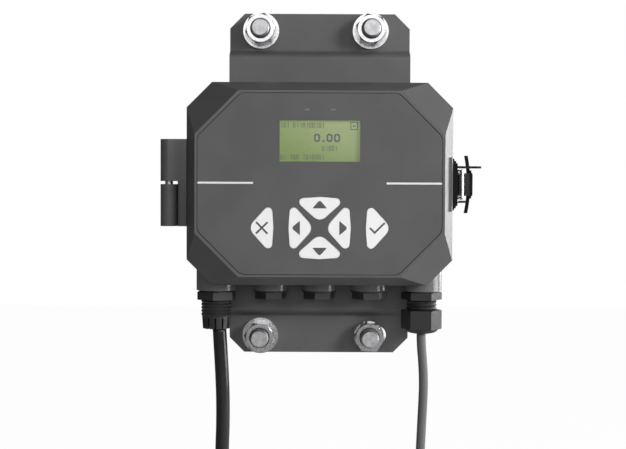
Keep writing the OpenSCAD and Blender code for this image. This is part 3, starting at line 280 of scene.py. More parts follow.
@dataclass(frozen=True)
class Finish:
    """A plain moulded or painted finish: a fine grain, soft patches, a slight change of gloss.

    Grain, relief and patch are lengths in metres.
    """

    name: str
    colour: Colour
    roughness: float = 0.5
    metallic: float = 0.0
    specular: float = 0.5
    coat: float = 0.0
    coat_roughness: float = 0.15
    grain: float = 0.0006
    relief: float = 0.00002
    patch: float = 0.03
    patch_edge: tuple[float, float] = (0.3, 0.7)
    patch_depth: float = 0.06
    gloss_change: float = 0.08

    def paint(self, place: Place) -> bpy.types.NodeSocket:
        """Base colour: broad patches a little lighter and darker than the finish's colour."""
        patches = place.noise(self.patch, 2.0).ramp(*self.patch_edge)
        darker, lighter = 1 - self.patch_depth, 1 + self.patch_depth
        return place.graph.blend(patches, shade(self.colour, darker), shade(self.colour, lighter))

    def height(self, place: Place) -> Value:
        """Relief: the grain alone."""
        return place.noise(self.grain, 2.0)

    def gloss(self, place: Place) -> Number:
        """Roughness: patches finer than those of the colour."""
        change = place.noise(self.patch / 3, 3.0) * self.gloss_change
        return change + (self.roughness - self.gloss_change / 2)

    def extras(self, place: Place, colour: Tint) -> dict[str, Any]:
        """Sockets that only some finishes set, from the place and the base colour."""
        return {}

    def material(self) -> bpy.types.Material:
        """Makes the finish's material.

        Returns:
            The material, which reads object coordinates.
        """
        made = bpy.data.materials.new(self.name)
        made.use_nodes = True
        graph = Graph(made.node_tree)
        place = Place.read(graph)
        colour = self.paint(place)
        inputs = {
            "Base Color": colour,
            "Roughness": self.gloss(place),
            "Metallic": self.metallic,
            "Specular IOR Level": self.specular,
            "Coat Weight": self.coat,
            "Coat Roughness": self.coat_roughness,
            "Normal": graph.bump(self.height(place), self.relief),
        }
        inputs.update(self.extras(place, colour))
        shader = graph.node("ShaderNodeBsdfPrincipled", {}, inputs)
        graph.node("ShaderNodeOutputMaterial", {}, {"Surface": shader.outputs[0]})
        return made


@cache
def material_of(finish: Finish) -> bpy.types.Material:
    """The finish's material, made at its first use."""
    return finish.material()


@dataclass(frozen=True)
class PowderCoat(Finish):
    """Powder coat: a low orange peel, of a size in metres, under a finer grain."""

    peel: float = 0.0014
    peel_share: float = 0.75

    def height(self, place: Place) -> Value:
        """Relief: orange peel with the grain on it."""
        peel = place.noise(self.peel, 1.0) * self.peel_share
        return peel + place.noise(self.grain, 2.0) * (1 - self.peel_share)


@dataclass(frozen=True)
class CasePaint(PowderCoat):
    """Powder coat of the box: painted highlight on its front edge, painted shade in the panel's
    groove.

    The front edge is every point in front of a depth. The groove is every point between two depths
    that lies inside the front edge: its distance from the middle is under a limit across, up and
    across the cut corners. Its own lengths are in millimetres.
    """

    edge_y: float = -100.6
    # Gain of the painted highlight on the front edge
    edge_highlight_gain: float = 1.16
    groove_from_y: float = -100.35
    groove_to_y: float = -99.85
    across: float = 77.0
    up: float = 57.2
    diagonal: float = 107.5
    fade: float = 0.1
    # Share and colour factor of the painted shade in the groove
    groove_shade_share: float = 0.75
    groove_shade_factor: float = 0.1
    edge_soft: float = 0.05

    def paint(self, place: Place) -> bpy.types.NodeSocket:
        """Base colour: the coat's patches, a painted highlight on the front edge, painted shade in
        the groove.
        """
        coat = Finish.paint(self, place)
        side, height = (place.x - METER_SHIFT * MM).size(), place.z.size()
        soft = self.edge_soft * MM
        # Painted highlight: the front plane is lightened, standing in for light catching the rim
        front = 1 - place.y.ramp(self.edge_y * MM, self.edge_y * MM + soft * 4)
        ground = place.graph.blend(front, coat, shade(self.colour, self.edge_highlight_gain))
        # Painted shade in the groove round the panel: darkened inside the front edge, between two
        # depths
        inside = (
            (1 - side.ramp(self.across * MM, (self.across + self.fade) * MM))
            * (1 - height.ramp(self.up * MM, (self.up + self.fade) * MM))
            * (1 - (side + height).ramp(self.diagonal * MM, (self.diagonal + self.fade) * MM)))
        deep = place.y.between(self.groove_from_y * MM, self.groove_to_y * MM, soft)
        painted_groove_shade = shade(self.colour, self.groove_shade_factor)
        return place.graph.blend(inside * deep * self.groove_shade_share, ground, painted_groove_shade)


@dataclass(frozen=True)
class PrintedFilm(PowderCoat):
    """Matt film of the front panel with two white lines printed on it.

    A line is where the distance from the meter's middle lies between two limits and the height
    from the line's own middle is under half its width. Its own lengths are in millimetres.
    """

    line_colour: Colour = (0.80, 0.80, 0.80)
    line_from: float = 41.3
    line_to: float = 75.6
    line_z: float = 0.6
    line_w: float = 1.2
    edge_soft: float = 0.03

    def paint(self, place: Place) -> bpy.types.NodeSocket:
        """Base colour: the film's patches with the printed lines over them."""
        ground = Finish.paint(self, place)
        soft, half = self.edge_soft * MM, self.line_w / 2 * MM
        across = (place.x - METER_SHIFT * MM).size()
        along = across.between(self.line_from * MM, self.line_to * MM, soft)
        off = (place.z - self.line_z * MM).size().ramp(half - soft, half + soft)
        return place.graph.blend(along * (1 - off), ground, self.line_colour)


@dataclass(frozen=True)
class PlatedSteel(Finish):
    """Bright plated steel: fine drawn lines and a soft change of gloss.

    The lines are noise stretched along one direction of the object.
    """

    metallic: float = 1.0
    stretch: tuple[float, float, float] = (1.0, 1.0, 0.08)

    def height(self, place: Place) -> Value:
        """Relief: stretched noise."""
        drawn = place.graph.node(
            "ShaderNodeMapping", {"vector_type": "POINT"},
            {"Vector": place.vector, "Scale": self.stretch})
        return place.graph.noise(drawn.outputs[0], self.grain, 3.0)


@dataclass(frozen=True)
class TurnedZinc(PlatedSteel):
    """Zinc plate of the nuts and washers: turned rings round each rod, painted shade with oil in
    the thread at its hole.

    Its own lengths are in millimetres. The wear's grain is a multiple of the finish's.
    """

    rod_x: float = 36.5
    rod_z: float = 102.0
    ring_pitch: float = 0.7
    thread_from: float = 5.2
    thread_to: float = 6.5
    thread_fade: tuple[float, float] = (0.2, 0.4)
    # Share and colour factor of the painted shade, with oil, in the thread
    thread_dark: float = 0.85
    thread_shade: float = 0.08
    ring_share: float = 0.5
    wear_grain: float = 3.0

    def radius(self, place: Place) -> Value:
        """Distance from the nearest of the four rods' axes."""
        across, up = place.x.size() - self.rod_x * MM, place.z.size() - self.rod_z * MM
        return (across * across + up * up).root()

    def paint(self, place: Place) -> bpy.types.NodeSocket:
        """Base colour: fine patches, and painted shade with oil between the rod and the nut's
        face.
        """
        ground = Finish.paint(self, place)
        radius = self.radius(place)
        near, far = self.thread_fade
        # Painted shade, with oil, in the crevice between the rod and the nut's face
        thread = radius.ramp(self.thread_from * MM, (self.thread_from + near) * MM) * (
            1 - radius.ramp(self.thread_to * MM, (self.thread_to + far) * MM))
        dark = shade(self.colour, self.thread_shade)
        return place.graph.blend(thread * self.thread_dark, ground, dark)

    def height(self, place: Place) -> Value:
        """Relief: turned rings with uneven depths."""
        turn = self.radius(place) * (2 * math.pi / (self.ring_pitch * MM))
        rings = turn.sine() * 0.5 + 0.5
        return rings * self.ring_share + place.noise(self.grain * self.wear_grain, 3.0)


@dataclass(frozen=True)
class ThreadedZinc(PlatedSteel):
    """Zinc plate of the U-bolts, with a rolled thread on the ends of their rods.

    The thread is a triangle wave along the rod, kept in front of the plane where it ends. Its own
    lengths are in millimetres.
    """

    thread_pitch: float = 1.75
    thread_end_y: float = -12.0
    run_out: float = 1.0
    line_share: float = 0.04

    def height(self, place: Place) -> Value:
        """Relief: drawn lines, and the thread where the rod is cut."""
        lines = PlatedSteel.height(self, place)
        pitch, end = self.thread_pitch * MM, self.thread_end_y * MM
        wave = place.y.repeat(pitch) * (2 / pitch)
        cut = 1 - place.y.ramp(end - self.run_out * MM, end)
        return lines * self.line_share + wave * cut


@dataclass(frozen=True)
class CircuitBoard(Finish):
    """Solder mask over copper: a grid of runs and lands, a little lighter than the mask around.

    A run lies near the lines of a square grid, which noise shifts by a step here and there. A land
    is a disc on every few lines, where another noise is high. Its own lengths are in millimetres.
    """

    copper: Colour = (0.02, 0.115, 0.045)
    pitch: float = 2.54
    run_half: float = 0.2
    run_soft: float = 0.02
    bend_patch: float = 12.0
    bend_edge: float = 0.02
    land: Colour = (0.38, 0.37, 0.33)
    land_radius: float = 0.45
    land_soft: float = 0.05
    land_steps: tuple[int, int] = (3, 2)
    land_patch: float = 8.0
    land_from: tuple[float, float] = (0.50, 0.52)

    def paint(self, place: Place) -> bpy.types.NodeSocket:
        """Base colour: mask, runs under it and tinned lands on a coarse grid."""
        step = self.pitch * MM
        swing = place.noise(self.bend_patch * MM, 0.0) - 0.5
        bend = swing.ramp(-self.bend_edge, self.bend_edge) * step
        nearest = (place.x + bend).repeat(step).least((place.z + bend).repeat(step))
        runs = 1 - nearest.ramp(
            (self.run_half - self.run_soft) * MM, (self.run_half + self.run_soft) * MM)
        steps_x, steps_z = self.land_steps
        hole_x, hole_z = place.x.repeat(step * steps_x), place.z.repeat(step * steps_z)
        far = (hole_x * hole_x + hole_z * hole_z).root()
        lands = 1 - far.ramp(self.land_radius * MM, (self.land_radius + self.land_soft) * MM)
        used = place.noise(self.land_patch * MM, 0.0).ramp(*self.land_from)
        mask = place.graph.blend(runs, self.colour, self.copper)
        return place.graph.blend(lands * used, mask, self.land)


@dataclass(frozen=True)
class LiquidCrystal(Finish):
    """Green display: painted light makes it lighter towards its top right corner; a painted glow;
    netted with its cells.

    Its own lengths are in millimetres.
    """

    # Colour of the painted light at the upper right
    light: Colour = (0.165, 0.21, 0.080)
    # Strength of the painted glow
    painted_glow: float = 0.75
    cell: float = 0.45
    cell_gap: float = 0.05
    cell_depth: float = 0.10
    gap_shade: float = 0.6
    middle: tuple[float, float] = (2.7, 26.7)
    slope: float = 0.5
    reach: float = 24.0

    def paint(self, place: Place) -> bpy.types.NodeSocket:
        """Base colour: painted light as a slope from the lower left to the upper right, netted
        with cells.
        """
        across, up = place.x - self.middle[0] * MM, place.z - self.middle[1] * MM
        # Painted light: lighter towards the upper right, where the light falls
        rise = (across * self.slope + up).ramp(-self.reach * MM, self.reach * MM)
        ground = place.graph.blend(rise, self.colour, self.light)
        nearest = place.x.repeat(self.cell * MM).least(place.z.repeat(self.cell * MM))
        net = 1 - nearest.ramp(0.0, self.cell_gap * MM)
        gap = shade(self.colour, self.gap_shade)
        return place.graph.blend(net * self.cell_depth, ground, gap)

    def extras(self, place: Place, colour: Tint) -> dict[str, Any]:
        """Emission: a painted glow that lifts the shade cast by the window's edge."""
        # Painted glow: the display is no lamp; this washes out the shade the window's edge casts
        # on it
        return {"Emission Color": colour, "Emission Strength": self.painted_glow}


@dataclass(frozen=True)
class ClearWindow(Finish):
    """Clear hard-coated window, seen through but for its gloss and a faint haze.

    The haze's patches are a length in metres.
    """

    opacity: float = 0.04
    haze: float = 0.02
    haze_patch: float = 0.004

    def extras(self, place: Place, colour: Tint) -> dict[str, Any]:
        """Alpha: nearly clear all over, with a faint uneven haze."""
        return {"Alpha": place.noise(self.haze_patch, 2.0) * self.haze + self.opacity}


@dataclass(frozen=True)
class Sheath(Finish):
    """Extruded cable sheath: fine lines along the cable, read from its own UV map.

    The map's first number runs round the cable and its second along it, in metres. The slow wave
    turns by so many radians a metre.
    """

    lines: int = 40
    slow_turn: float = 180.0
    shares: tuple[float, float, float] = (0.6, 0.15, 0.25)

    def height(self, place: Place) -> Value:
        """Relief: waves round the cable, a slow wave along it and the grain."""
        graph = place.graph
        own = graph.node("ShaderNodeUVMap", {"uv_map": "along"}, {}).outputs[0]
        split = graph.node("ShaderNodeSeparateXYZ", {}, {0: own})
        turn, run = Value(graph, split.outputs[0]), Value(graph, split.outputs[1])
        waves = (turn * (2 * math.pi * self.lines)).sine() * 0.5 + 0.5
        slow = (run * self.slow_turn).sine() * 0.5 + 0.5
        fine = place.noise(self.grain, 2.0)
        return waves * self.shares[0] + slow * self.shares[1] + fine * self.shares[2]


# Finishes of the CAD nodes, by the record's slot
FINISHES: dict[str, Finish] = {
    "plate_paint": PowderCoat(
        "plate_powder_coat", (0.099, 0.099, 0.101), roughness=0.55, relief=0.00003),
    "case_paint": CasePaint(
        "case_powder_coat", (0.080, 0.080, 0.082), roughness=0.45, relief=0.00003),
    "housing_paint": PowderCoat(
        "housing_powder_coat", (0.130, 0.130, 0.132), roughness=0.26, relief=0.00003),
    "panel_film": PrintedFilm("panel_film", (0.100, 0.100, 0.102), roughness=0.6, specular=0.3),
    "zinc": PlatedSteel(
        "zinc_plate", (0.60, 0.60, 0.61), roughness=0.28, grain=0.0005, relief=0.000004),
    "black_plastic": Finish(
        "black_nylon", (0.017, 0.017, 0.018), roughness=0.36, specular=0.6, grain=0.0005),
    "black_rubber": Finish("black_rubber", (0.012, 0.012, 0.012), roughness=0.7, grain=0.0004),
    "board": CircuitBoard("circuit_board", (0.008, 0.06, 0.025), roughness=0.35, relief=0.00002),
    "power_case": Finish("power_module_case", (0.60, 0.42, 0.03), roughness=0.45),
    "capacitor_sleeve": Finish("capacitor_sleeve", (0.02, 0.045, 0.16), roughness=0.3, coat=0.4),
    "terminal_plastic": Finish("terminal_plastic", (0.02, 0.22, 0.05), roughness=0.45),
    "core_white": Finish("white_core", (0.75, 0.75, 0.72), roughness=0.45),
    "core_brown": Finish("brown_core", (0.14, 0.045, 0.015), roughness=0.45),
    "black_cable": Finish("black_sheath_end", (0.012, 0.012, 0.013), roughness=0.3),
    "grey_cable": Finish("grey_sheath_end", (0.105, 0.105, 0.105), roughness=0.55),
    "plug_metal": PlatedSteel(
        "nickel_plate", (0.72, 0.72, 0.73), roughness=0.22, grain=0.0004, relief=0.000003),
    "latch_black": PowderCoat(
        "latch_black_coat", (0.009, 0.009, 0.010), roughness=0.6, specular=0.06),
    "latch_bright": PlatedSteel(
        "bright_steel", (0.75, 0.75, 0.76), roughness=0.25, relief=0.000003),
    "window": ClearWindow("clear_window", (0.9, 0.9, 0.9), roughness=0.12, specular=0.5),
    "display": LiquidCrystal(
        "liquid_crystal", (0.080, 0.135, 0.007), roughness=0.45, relief=0.000002),
    "key_rubber": Finish(
        "white_key_rubber", (0.90, 0.90, 0.90), roughness=0.5, patch_depth=0.01),
    "mat_rubber": Finish("pale_silicone", (0.55, 0.55, 0.55), roughness=0.6),
}

BLACK_SHEATH = Sheath("black_cable_sheath", (0.012, 0.012, 0.013), roughness=0.20, relief=0.00001)
GREY_SHEATH = Sheath("grey_cable_sheath", (0.105, 0.105, 0.105), roughness=0.55, relief=0.00003)
SIGN_INK = Finish("grey_sign_ink", (0.085, 0.085, 0.087), roughness=0.55)
CRYSTAL_INK = Finish("dark_crystal", (0.03, 0.045, 0.055), roughness=0.45)
FAINT_INK = Finish("faint_crystal", (0.036, 0.060, 0.033), roughness=0.45)

LAMP_LENS = Finish("lamp_lens", (0.17, 0.18, 0.17), roughness=0.4, patch=0.002)
HINGE_COAT = PowderCoat(
    "hinge_powder_coat", (0.088, 0.088, 0.090), roughness=0.2, relief=0.00001)
THREADED_ZINC = ThreadedZinc(
    "threaded_zinc", (0.50, 0.50, 0.51), roughness=0.46, relief=0.0003, patch=0.003,
    patch_depth=0.15)
TURNED_ZINC = TurnedZinc(
    "turned_zinc", (0.58, 0.58, 0.59), roughness=0.26, relief=0.00003, patch=0.003)

# Finishes of the CAD nodes that differ from the rest of their slot
OWN_FINISHES: dict[str, Finish] = {
    "ubolt_upper": THREADED_ZINC,
    "ubolt_lower": THREADED_ZINC,
    "ubolt_nuts": TURNED_ZINC,
    "ubolt_washers": TURNED_ZINC,
    "ubolt_lock_washers": TURNED_ZINC,
    "light_pipes": LAMP_LENS,
    "hinge_fixed_leaf": HINGE_COAT,
    "hinge_moving_leaf": HINGE_COAT,
}


# ---------------------------------------------------------------- surfaces


def make_piece(
        name: str, points: np.ndarray, faces: list[list[int]],
        smooth: bool = False) -> bpy.types.Object:
    """Puts points and faces into a new object at the origin.

    Args:
        name: the piece's name.
        points: its corners in metres, one a row.
        faces: lists of corner numbers, outwards.
        smooth: whether its faces are shaded smooth.

    Returns:
        The object, linked to the scene.
    """
    mesh = bpy.data.meshes.new(name)
    mesh.from_pydata(points.tolist(), [], faces)
    mesh.polygons.foreach_set("use_smooth", np.full(len(mesh.polygons), smooth))
    mesh.update()
    made = bpy.data.objects.new(name, mesh)
    bpy.context.scene.collection.objects.link(made)
    return made


def dress(piece: bpy.types.Object, finish: Finish, body: str) -> bpy.types.Object:
    """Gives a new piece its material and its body.

    Args:
        piece: the piece.
        finish: its finish.
        body: the CAD body that it rides on.

    Returns:
        The piece.
    """
    piece.data.materials.append(material_of(finish))
    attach(piece, body)
    LOG.info("%s on %s, %d faces", piece.name, body, len(piece.data.polygons))
    return piece


def unit(rows: np.ndarray) -> np.ndarray:
    """Vectors of length 1 in the same directions."""
    return rows / np.linalg.norm(rows, axis=-1, keepdims=True)


def smooth_line(points: np.ndarray, parts: int) -> np.ndarray:
    """A curve through the points.

    Each stretch between two points is a cubic whose slope at a point is half the way from the
    point before to the point after it, and the line's ends go on straight.

    Args:
        points: points of the route, one a row.
        parts: how many parts each stretch gets.

    Returns:
        The curve's points, the route's own among them.
    """
    ends = np.vstack([2 * points[:1] - points[1:2], points, 2 * points[-1:] - points[-2:-1]])
    before, here, there, after = ends[:-3], ends[1:-2], ends[2:-1], ends[3:]
    share = (np.arange(parts) / parts)[None, :, None]
    here, there, before, after = (rows[:, None, :] for rows in (here, there, before, after))
    curve = 0.5 * (
        2 * here + (there - before) * share
        + (2 * before - 5 * here + 4 * there - after) * share ** 2
        + (3 * here - 3 * there + after - before) * share ** 3)
    return np.vstack([curve.reshape(-1, points.shape[1]), points[-1:]])


def tube(name: str, line: np.ndarray, radius: float, sides: int) -> bpy.types.Object:
    """A round tube along a line that mostly runs across Y, closed at both ends.

    A ring at each point of the line has its first corner towards +Y. The UV map "along" holds the
    share of a turn round the tube and the length along it.

    Args:
        name: the piece's name.
        line: the tube's centreline in metres.
        radius: its radius in metres.
        sides: corners of a ring.

    Returns:
        The tube.
    """
    way = unit(np.gradient(line, axis=0))
    out = unit(np.array([0.0, 1.0, 0.0]) - way * way[:, 1:2])
    side = np.cross(way, out)
    turn = np.arange(sides) * 2 * np.pi / sides
    rings = line[:, None, :] + radius * (
        out[:, None, :] * np.cos(turn)[None, :, None]
        + side[:, None, :] * np.sin(turn)[None, :, None])
    count = len(line)
    ring, corner = np.meshgrid(np.arange(count - 1), np.arange(sides), indexing="ij")
    first = ring * sides + corner
    second = ring * sides + (corner + 1) % sides
    walls = np.stack([first, second, second + sides, first + sides], axis=-1).reshape(-1, 4)
    last_ring = list(range((count - 1) * sides, count * sides))
    faces = walls.tolist() + [list(range(sides))[::-1], last_ring]
    made = make_piece(name, rings.reshape(-1, 3), faces, True)
    run = np.concatenate([[0.0], np.cumsum(np.linalg.norm(np.diff(line, axis=0), axis=1))])
    around = np.stack([corner, corner + 1, corner + 1, corner], axis=-1) / sides
    along = np.stack([run[ring], run[ring], run[ring + 1], run[ring + 1]], axis=-1)
    ends = np.zeros((2 * sides, 2))
    layer = made.data.uv_layers.new(name="along")
    layer.data.foreach_set(
        "uv", np.vstack([np.stack([around, along], axis=-1).reshape(-1, 2), ends]).ravel())
    return made


def flat_shapes(
        name: str, outlines: list[np.ndarray], front: float, depth: float) -> bpy.types.Object:
    """Thin plates that face the front.

    Each plate is an outline in x and z carried from its front plane back by its depth.

    Args:
        name: the piece's name.
        outlines: outlines in millimetres, counterclockwise seen from the front.
        front: y of their front in millimetres.
        depth: their thickness in millimetres.

    Returns:
        All the plates as one piece.
    """
    points, faces, first = [], [], 0
    for outline in outlines:
        count = len(outline)
        number = np.arange(count)
        after = (number + 1) % count
        for y in (front, front + depth):
            points.append(np.column_stack([outline[:, 0], np.full(count, y), outline[:, 1]]))
        faces += [(first + number).tolist(), (first + count + number[::-1]).tolist()]
        walls = np.column_stack([number + count, after + count, after, number]) + first
        faces += walls.tolist()
        first += 2 * count
    rows = np.vstack(points) + np.array([METER_SHIFT, 0.0, 0.0])
    return make_piece(name, rows * MM, faces)


# ---------------------------------------------------------------- cables


class Winding(Enum):
    """Way that a coil turns, seen from the front."""

    CLOCKWISE = -1
    COUNTERCLOCKWISE = 1


@dataclass
class Lead:
    """A cable from its gland down to a tied coil under the meter.

    Lengths are in millimetres. The climb and the reversal are degrees of the winding.
    """

    name: str
    route: list[tuple[float, float]]
    diameter: float
    mean_radius: float
    turns: float
    winding: Winding
    end_run: float
    far_end: str
    finish: Finish
    slot: str
    entry_y: float = -58.0
    turn_gap: float = 0.8
    parts_a_stretch: int = 4
    rings_a_turn: int = 48
    sides: int = 20
    climb: float = 180.0
    reversal: float = 40.0
    replaced: tuple[str, ...] = ()
    carried: tuple[str, ...] = ()

    def coil_line(self) -> np.ndarray:
        """Centreline of the coil.

        The radius falls by one pitch a turn over the first half of the winding and rises again
        over the second, with a soft change between them. There the line also climbs one pitch to
        the back.

        Returns:
            Points in millimetres, from the route's end to the cable's end.
        """
        hand = self.winding.value
        last, before = np.array(self.route[-1]), np.array(self.route[-2])
        heading = unit(last - before)
        pitch = self.diameter + self.turn_gap
        total = self.turns * FULL_TURN
        start_angle = math.degrees(math.atan2(heading[1], heading[0])) - hand * FULL_TURN / 4
        spread = pitch * self.turns / 2
        steps = int(self.turns * self.rings_a_turn)
        turn = total * np.arange(steps + 1) / steps
        radius = self.mean_radius - spread / 2 + pitch / FULL_TURN * (
            np.sqrt((turn - total / 2) ** 2 + self.reversal ** 2) - self.reversal)
        angle = np.radians(start_angle + hand * turn)
        arm = radius[:, None] * np.column_stack([np.cos(angle), np.sin(angle)])
        flat = last + heading * self.diameter - arm[0] + arm
        share = np.clip((turn - total / 2) / self.climb + 0.5, 0, 1)
        rise = pitch * share * share * (3 - 2 * share)
        body = np.column_stack([flat[:, 0], self.entry_y + rise, flat[:, 1]])
        tail = hand * np.array([-np.sin(angle[-1]), 0, np.cos(angle[-1])])
        return np.vstack([body, body[-1] + tail * self.end_run])

    def line(self) -> np.ndarray:
        """Centreline of the whole cable in metres, in the row frame.

        Returns:
            Points from the gland to the cable's end.
        """
        flat = np.array(self.route)
        route = np.column_stack([flat[:, 0], np.full(len(flat), self.entry_y), flat[:, 1]])
        whole = np.vstack([smooth_line(route, self.parts_a_stretch), self.coil_line()])
        return (whole + np.array([METER_SHIFT, 0.0, 0.0])) * MM

    def build(self, nodes: dict[str, bpy.types.Object]) -> bpy.types.Object:
        """Args:
            nodes: the CAD nodes by name; not used.

        Returns:
            The cable.
        """
        line = self.line()
        made = tube(self.name, line, self.diameter / 2 * MM, self.sides)
        dress(made, self.finish, "base")
        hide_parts(*self.replaced)
        return made


def black_lead() -> Lead:
    """Cable to the transducer, from the left gland.

    Returns:
        The cable's route, sizes and finish.
    """
    return Lead(
        name="black_lead",
        route=[
            (-65, -94.4), (-64.5, -103), (-63.9, -113), (-63.3, -124), (-62.8, -136),
            (-62.6, -148), (-62.7, -160), (-63, -170), (-63, -178), (-62.1, -186.3),
            (-59.5, -194.3), (-55.4, -201.5), (-49.8, -207.7), (-43, -212.6), (-35.2, -217.1)],
        diameter=9.0, mean_radius=52.5, turns=7 + 1 / 6, winding=Winding.CLOCKWISE, end_run=45.0,
        far_end="plug", finish=BLACK_SHEATH, slot="black_cable",
        replaced=("cable_black", "coil_black"), carried=("transducer_plug", "ties_black"))


def grey_lead() -> Lead:
    """Power and signal cable, from the right gland.

    Returns:
        The cable's route, sizes and finish.
    """
    return Lead(
        name="grey_lead",
        route=[
            (67, -97.2), (67, -101), (67.4, -108), (68, -115), (68.5, -123), (68.7, -131),
            (68.5, -140), (68.1, -149), (67.7, -158), (67.3, -167), (67, -175), (67, -180),
            (66, -187.8), (63, -195), (58.2, -201.2), (52, -206), (46, -209.5)],
        diameter=6.0, mean_radius=35.6, turns=6 + 1 / 6, winding=Winding.COUNTERCLOCKWISE,
        end_run=25.0, far_end="bare", finish=GREY_SHEATH, slot="grey_cable",
        replaced=("cable_grey", "coil_grey"), carried=("core_ends_grey", "ties_grey"))


# ---------------------------------------------------------------- front panel


class KeySign(Enum):
    """Signs of the keys, in millimetres round the key's middle.

    The arrow is an outline. The cross has the end of one of its arms, and the tick the corners of
    its stroke.
    """

    ARROW = (
        (-4.3, -2.2), (4.3, -2.2), (4.1, -1.7), (1.3, 1.6), (0.5, 2.3), (-0.5, 2.3), (-1.3, 1.6),
        (-4.1, -1.7))
    CROSS = ((3.6, 3.5),)
    TICK = ((-4.7, 0.2), (-1.7, -2.8), (4.5, 3.4))


@dataclass
class KeySigns:
    """Dark signs printed on the six white keys, in millimetres."""

    keypad_z: float = -27.2
    arrow_reach: float = 14.4
    outer_reach: float = 35.8
    key_front: float = -100.75
    ink: float = 0.05
    stroke_w: float = 1.2

    def outline(self, sign: KeySign, turn: float) -> np.ndarray:
        """Outline of one sign.

        An arrow's outline is turned. A cross is one arm and the notch after it, turned four times.
        A tick is a stroke through three corners, with a mitre at its foot.

        Args:
            sign: which sign.
            turn: its turn in degrees, counterclockwise.

        Returns:
            The outline round the key's middle, counterclockwise.
        """
        rows, half = np.array(sign.value), self.stroke_w / 2
        if sign is KeySign.ARROW:
            angle = math.radians(turn)
            cosine, sine = math.cos(angle), math.sin(angle)
            return rows @ np.array([[cosine, sine], [-sine, cosine]])
        if sign is KeySign.CROSS:
            notch = half * math.sqrt(2)
            arm = rows[0]
            side = np.array([arm[1], -arm[0]]) / np.hypot(*arm) * half
            quarter = np.array([[0.0, 1.0], [-1.0, 0.0]])
            corners = np.array([arm + side, arm - side, np.array([0.0, notch])])
            return np.vstack([corners @ np.linalg.matrix_power(quarter, k) for k in range(4)])
        left, foot, right = rows
        first, second = unit(foot - left), unit(right - foot)
        down, up = (np.array([way[1], -way[0]]) * half for way in (first, second))
        mitre = (down + up) / (1 + down @ up / half ** 2)
        return np.array([
            left + down, foot + mitre, right + up, right - up, foot - mitre, left - down])

    def build(self) -> None:
        """Makes the sign of each key, which moves with it."""
        reach, outer = self.arrow_reach, self.outer_reach
        plan = (
            ("key_up", KeySign.ARROW, 0.0, (0.0, reach)),
            ("key_down", KeySign.ARROW, 180.0, (0.0, -reach)),
            ("key_left", KeySign.ARROW, 90.0, (-reach, 0.0)),
            ("key_right", KeySign.ARROW, -90.0, (reach, 0.0)),
            ("key_cancel", KeySign.CROSS, 0.0, (-outer, 0.0)),
            ("key_enter", KeySign.TICK, 0.0, (outer, 0.0)))
        for body, sign, turn, middle in plan:
            moved = self.outline(sign, turn) + np.array(middle) + np.array([0.0, self.keypad_z])
            name = body.replace("key", "sign")
            made = flat_shapes(name, [moved], self.key_front - self.ink, self.ink)
            dress(made, SIGN_INK, body)


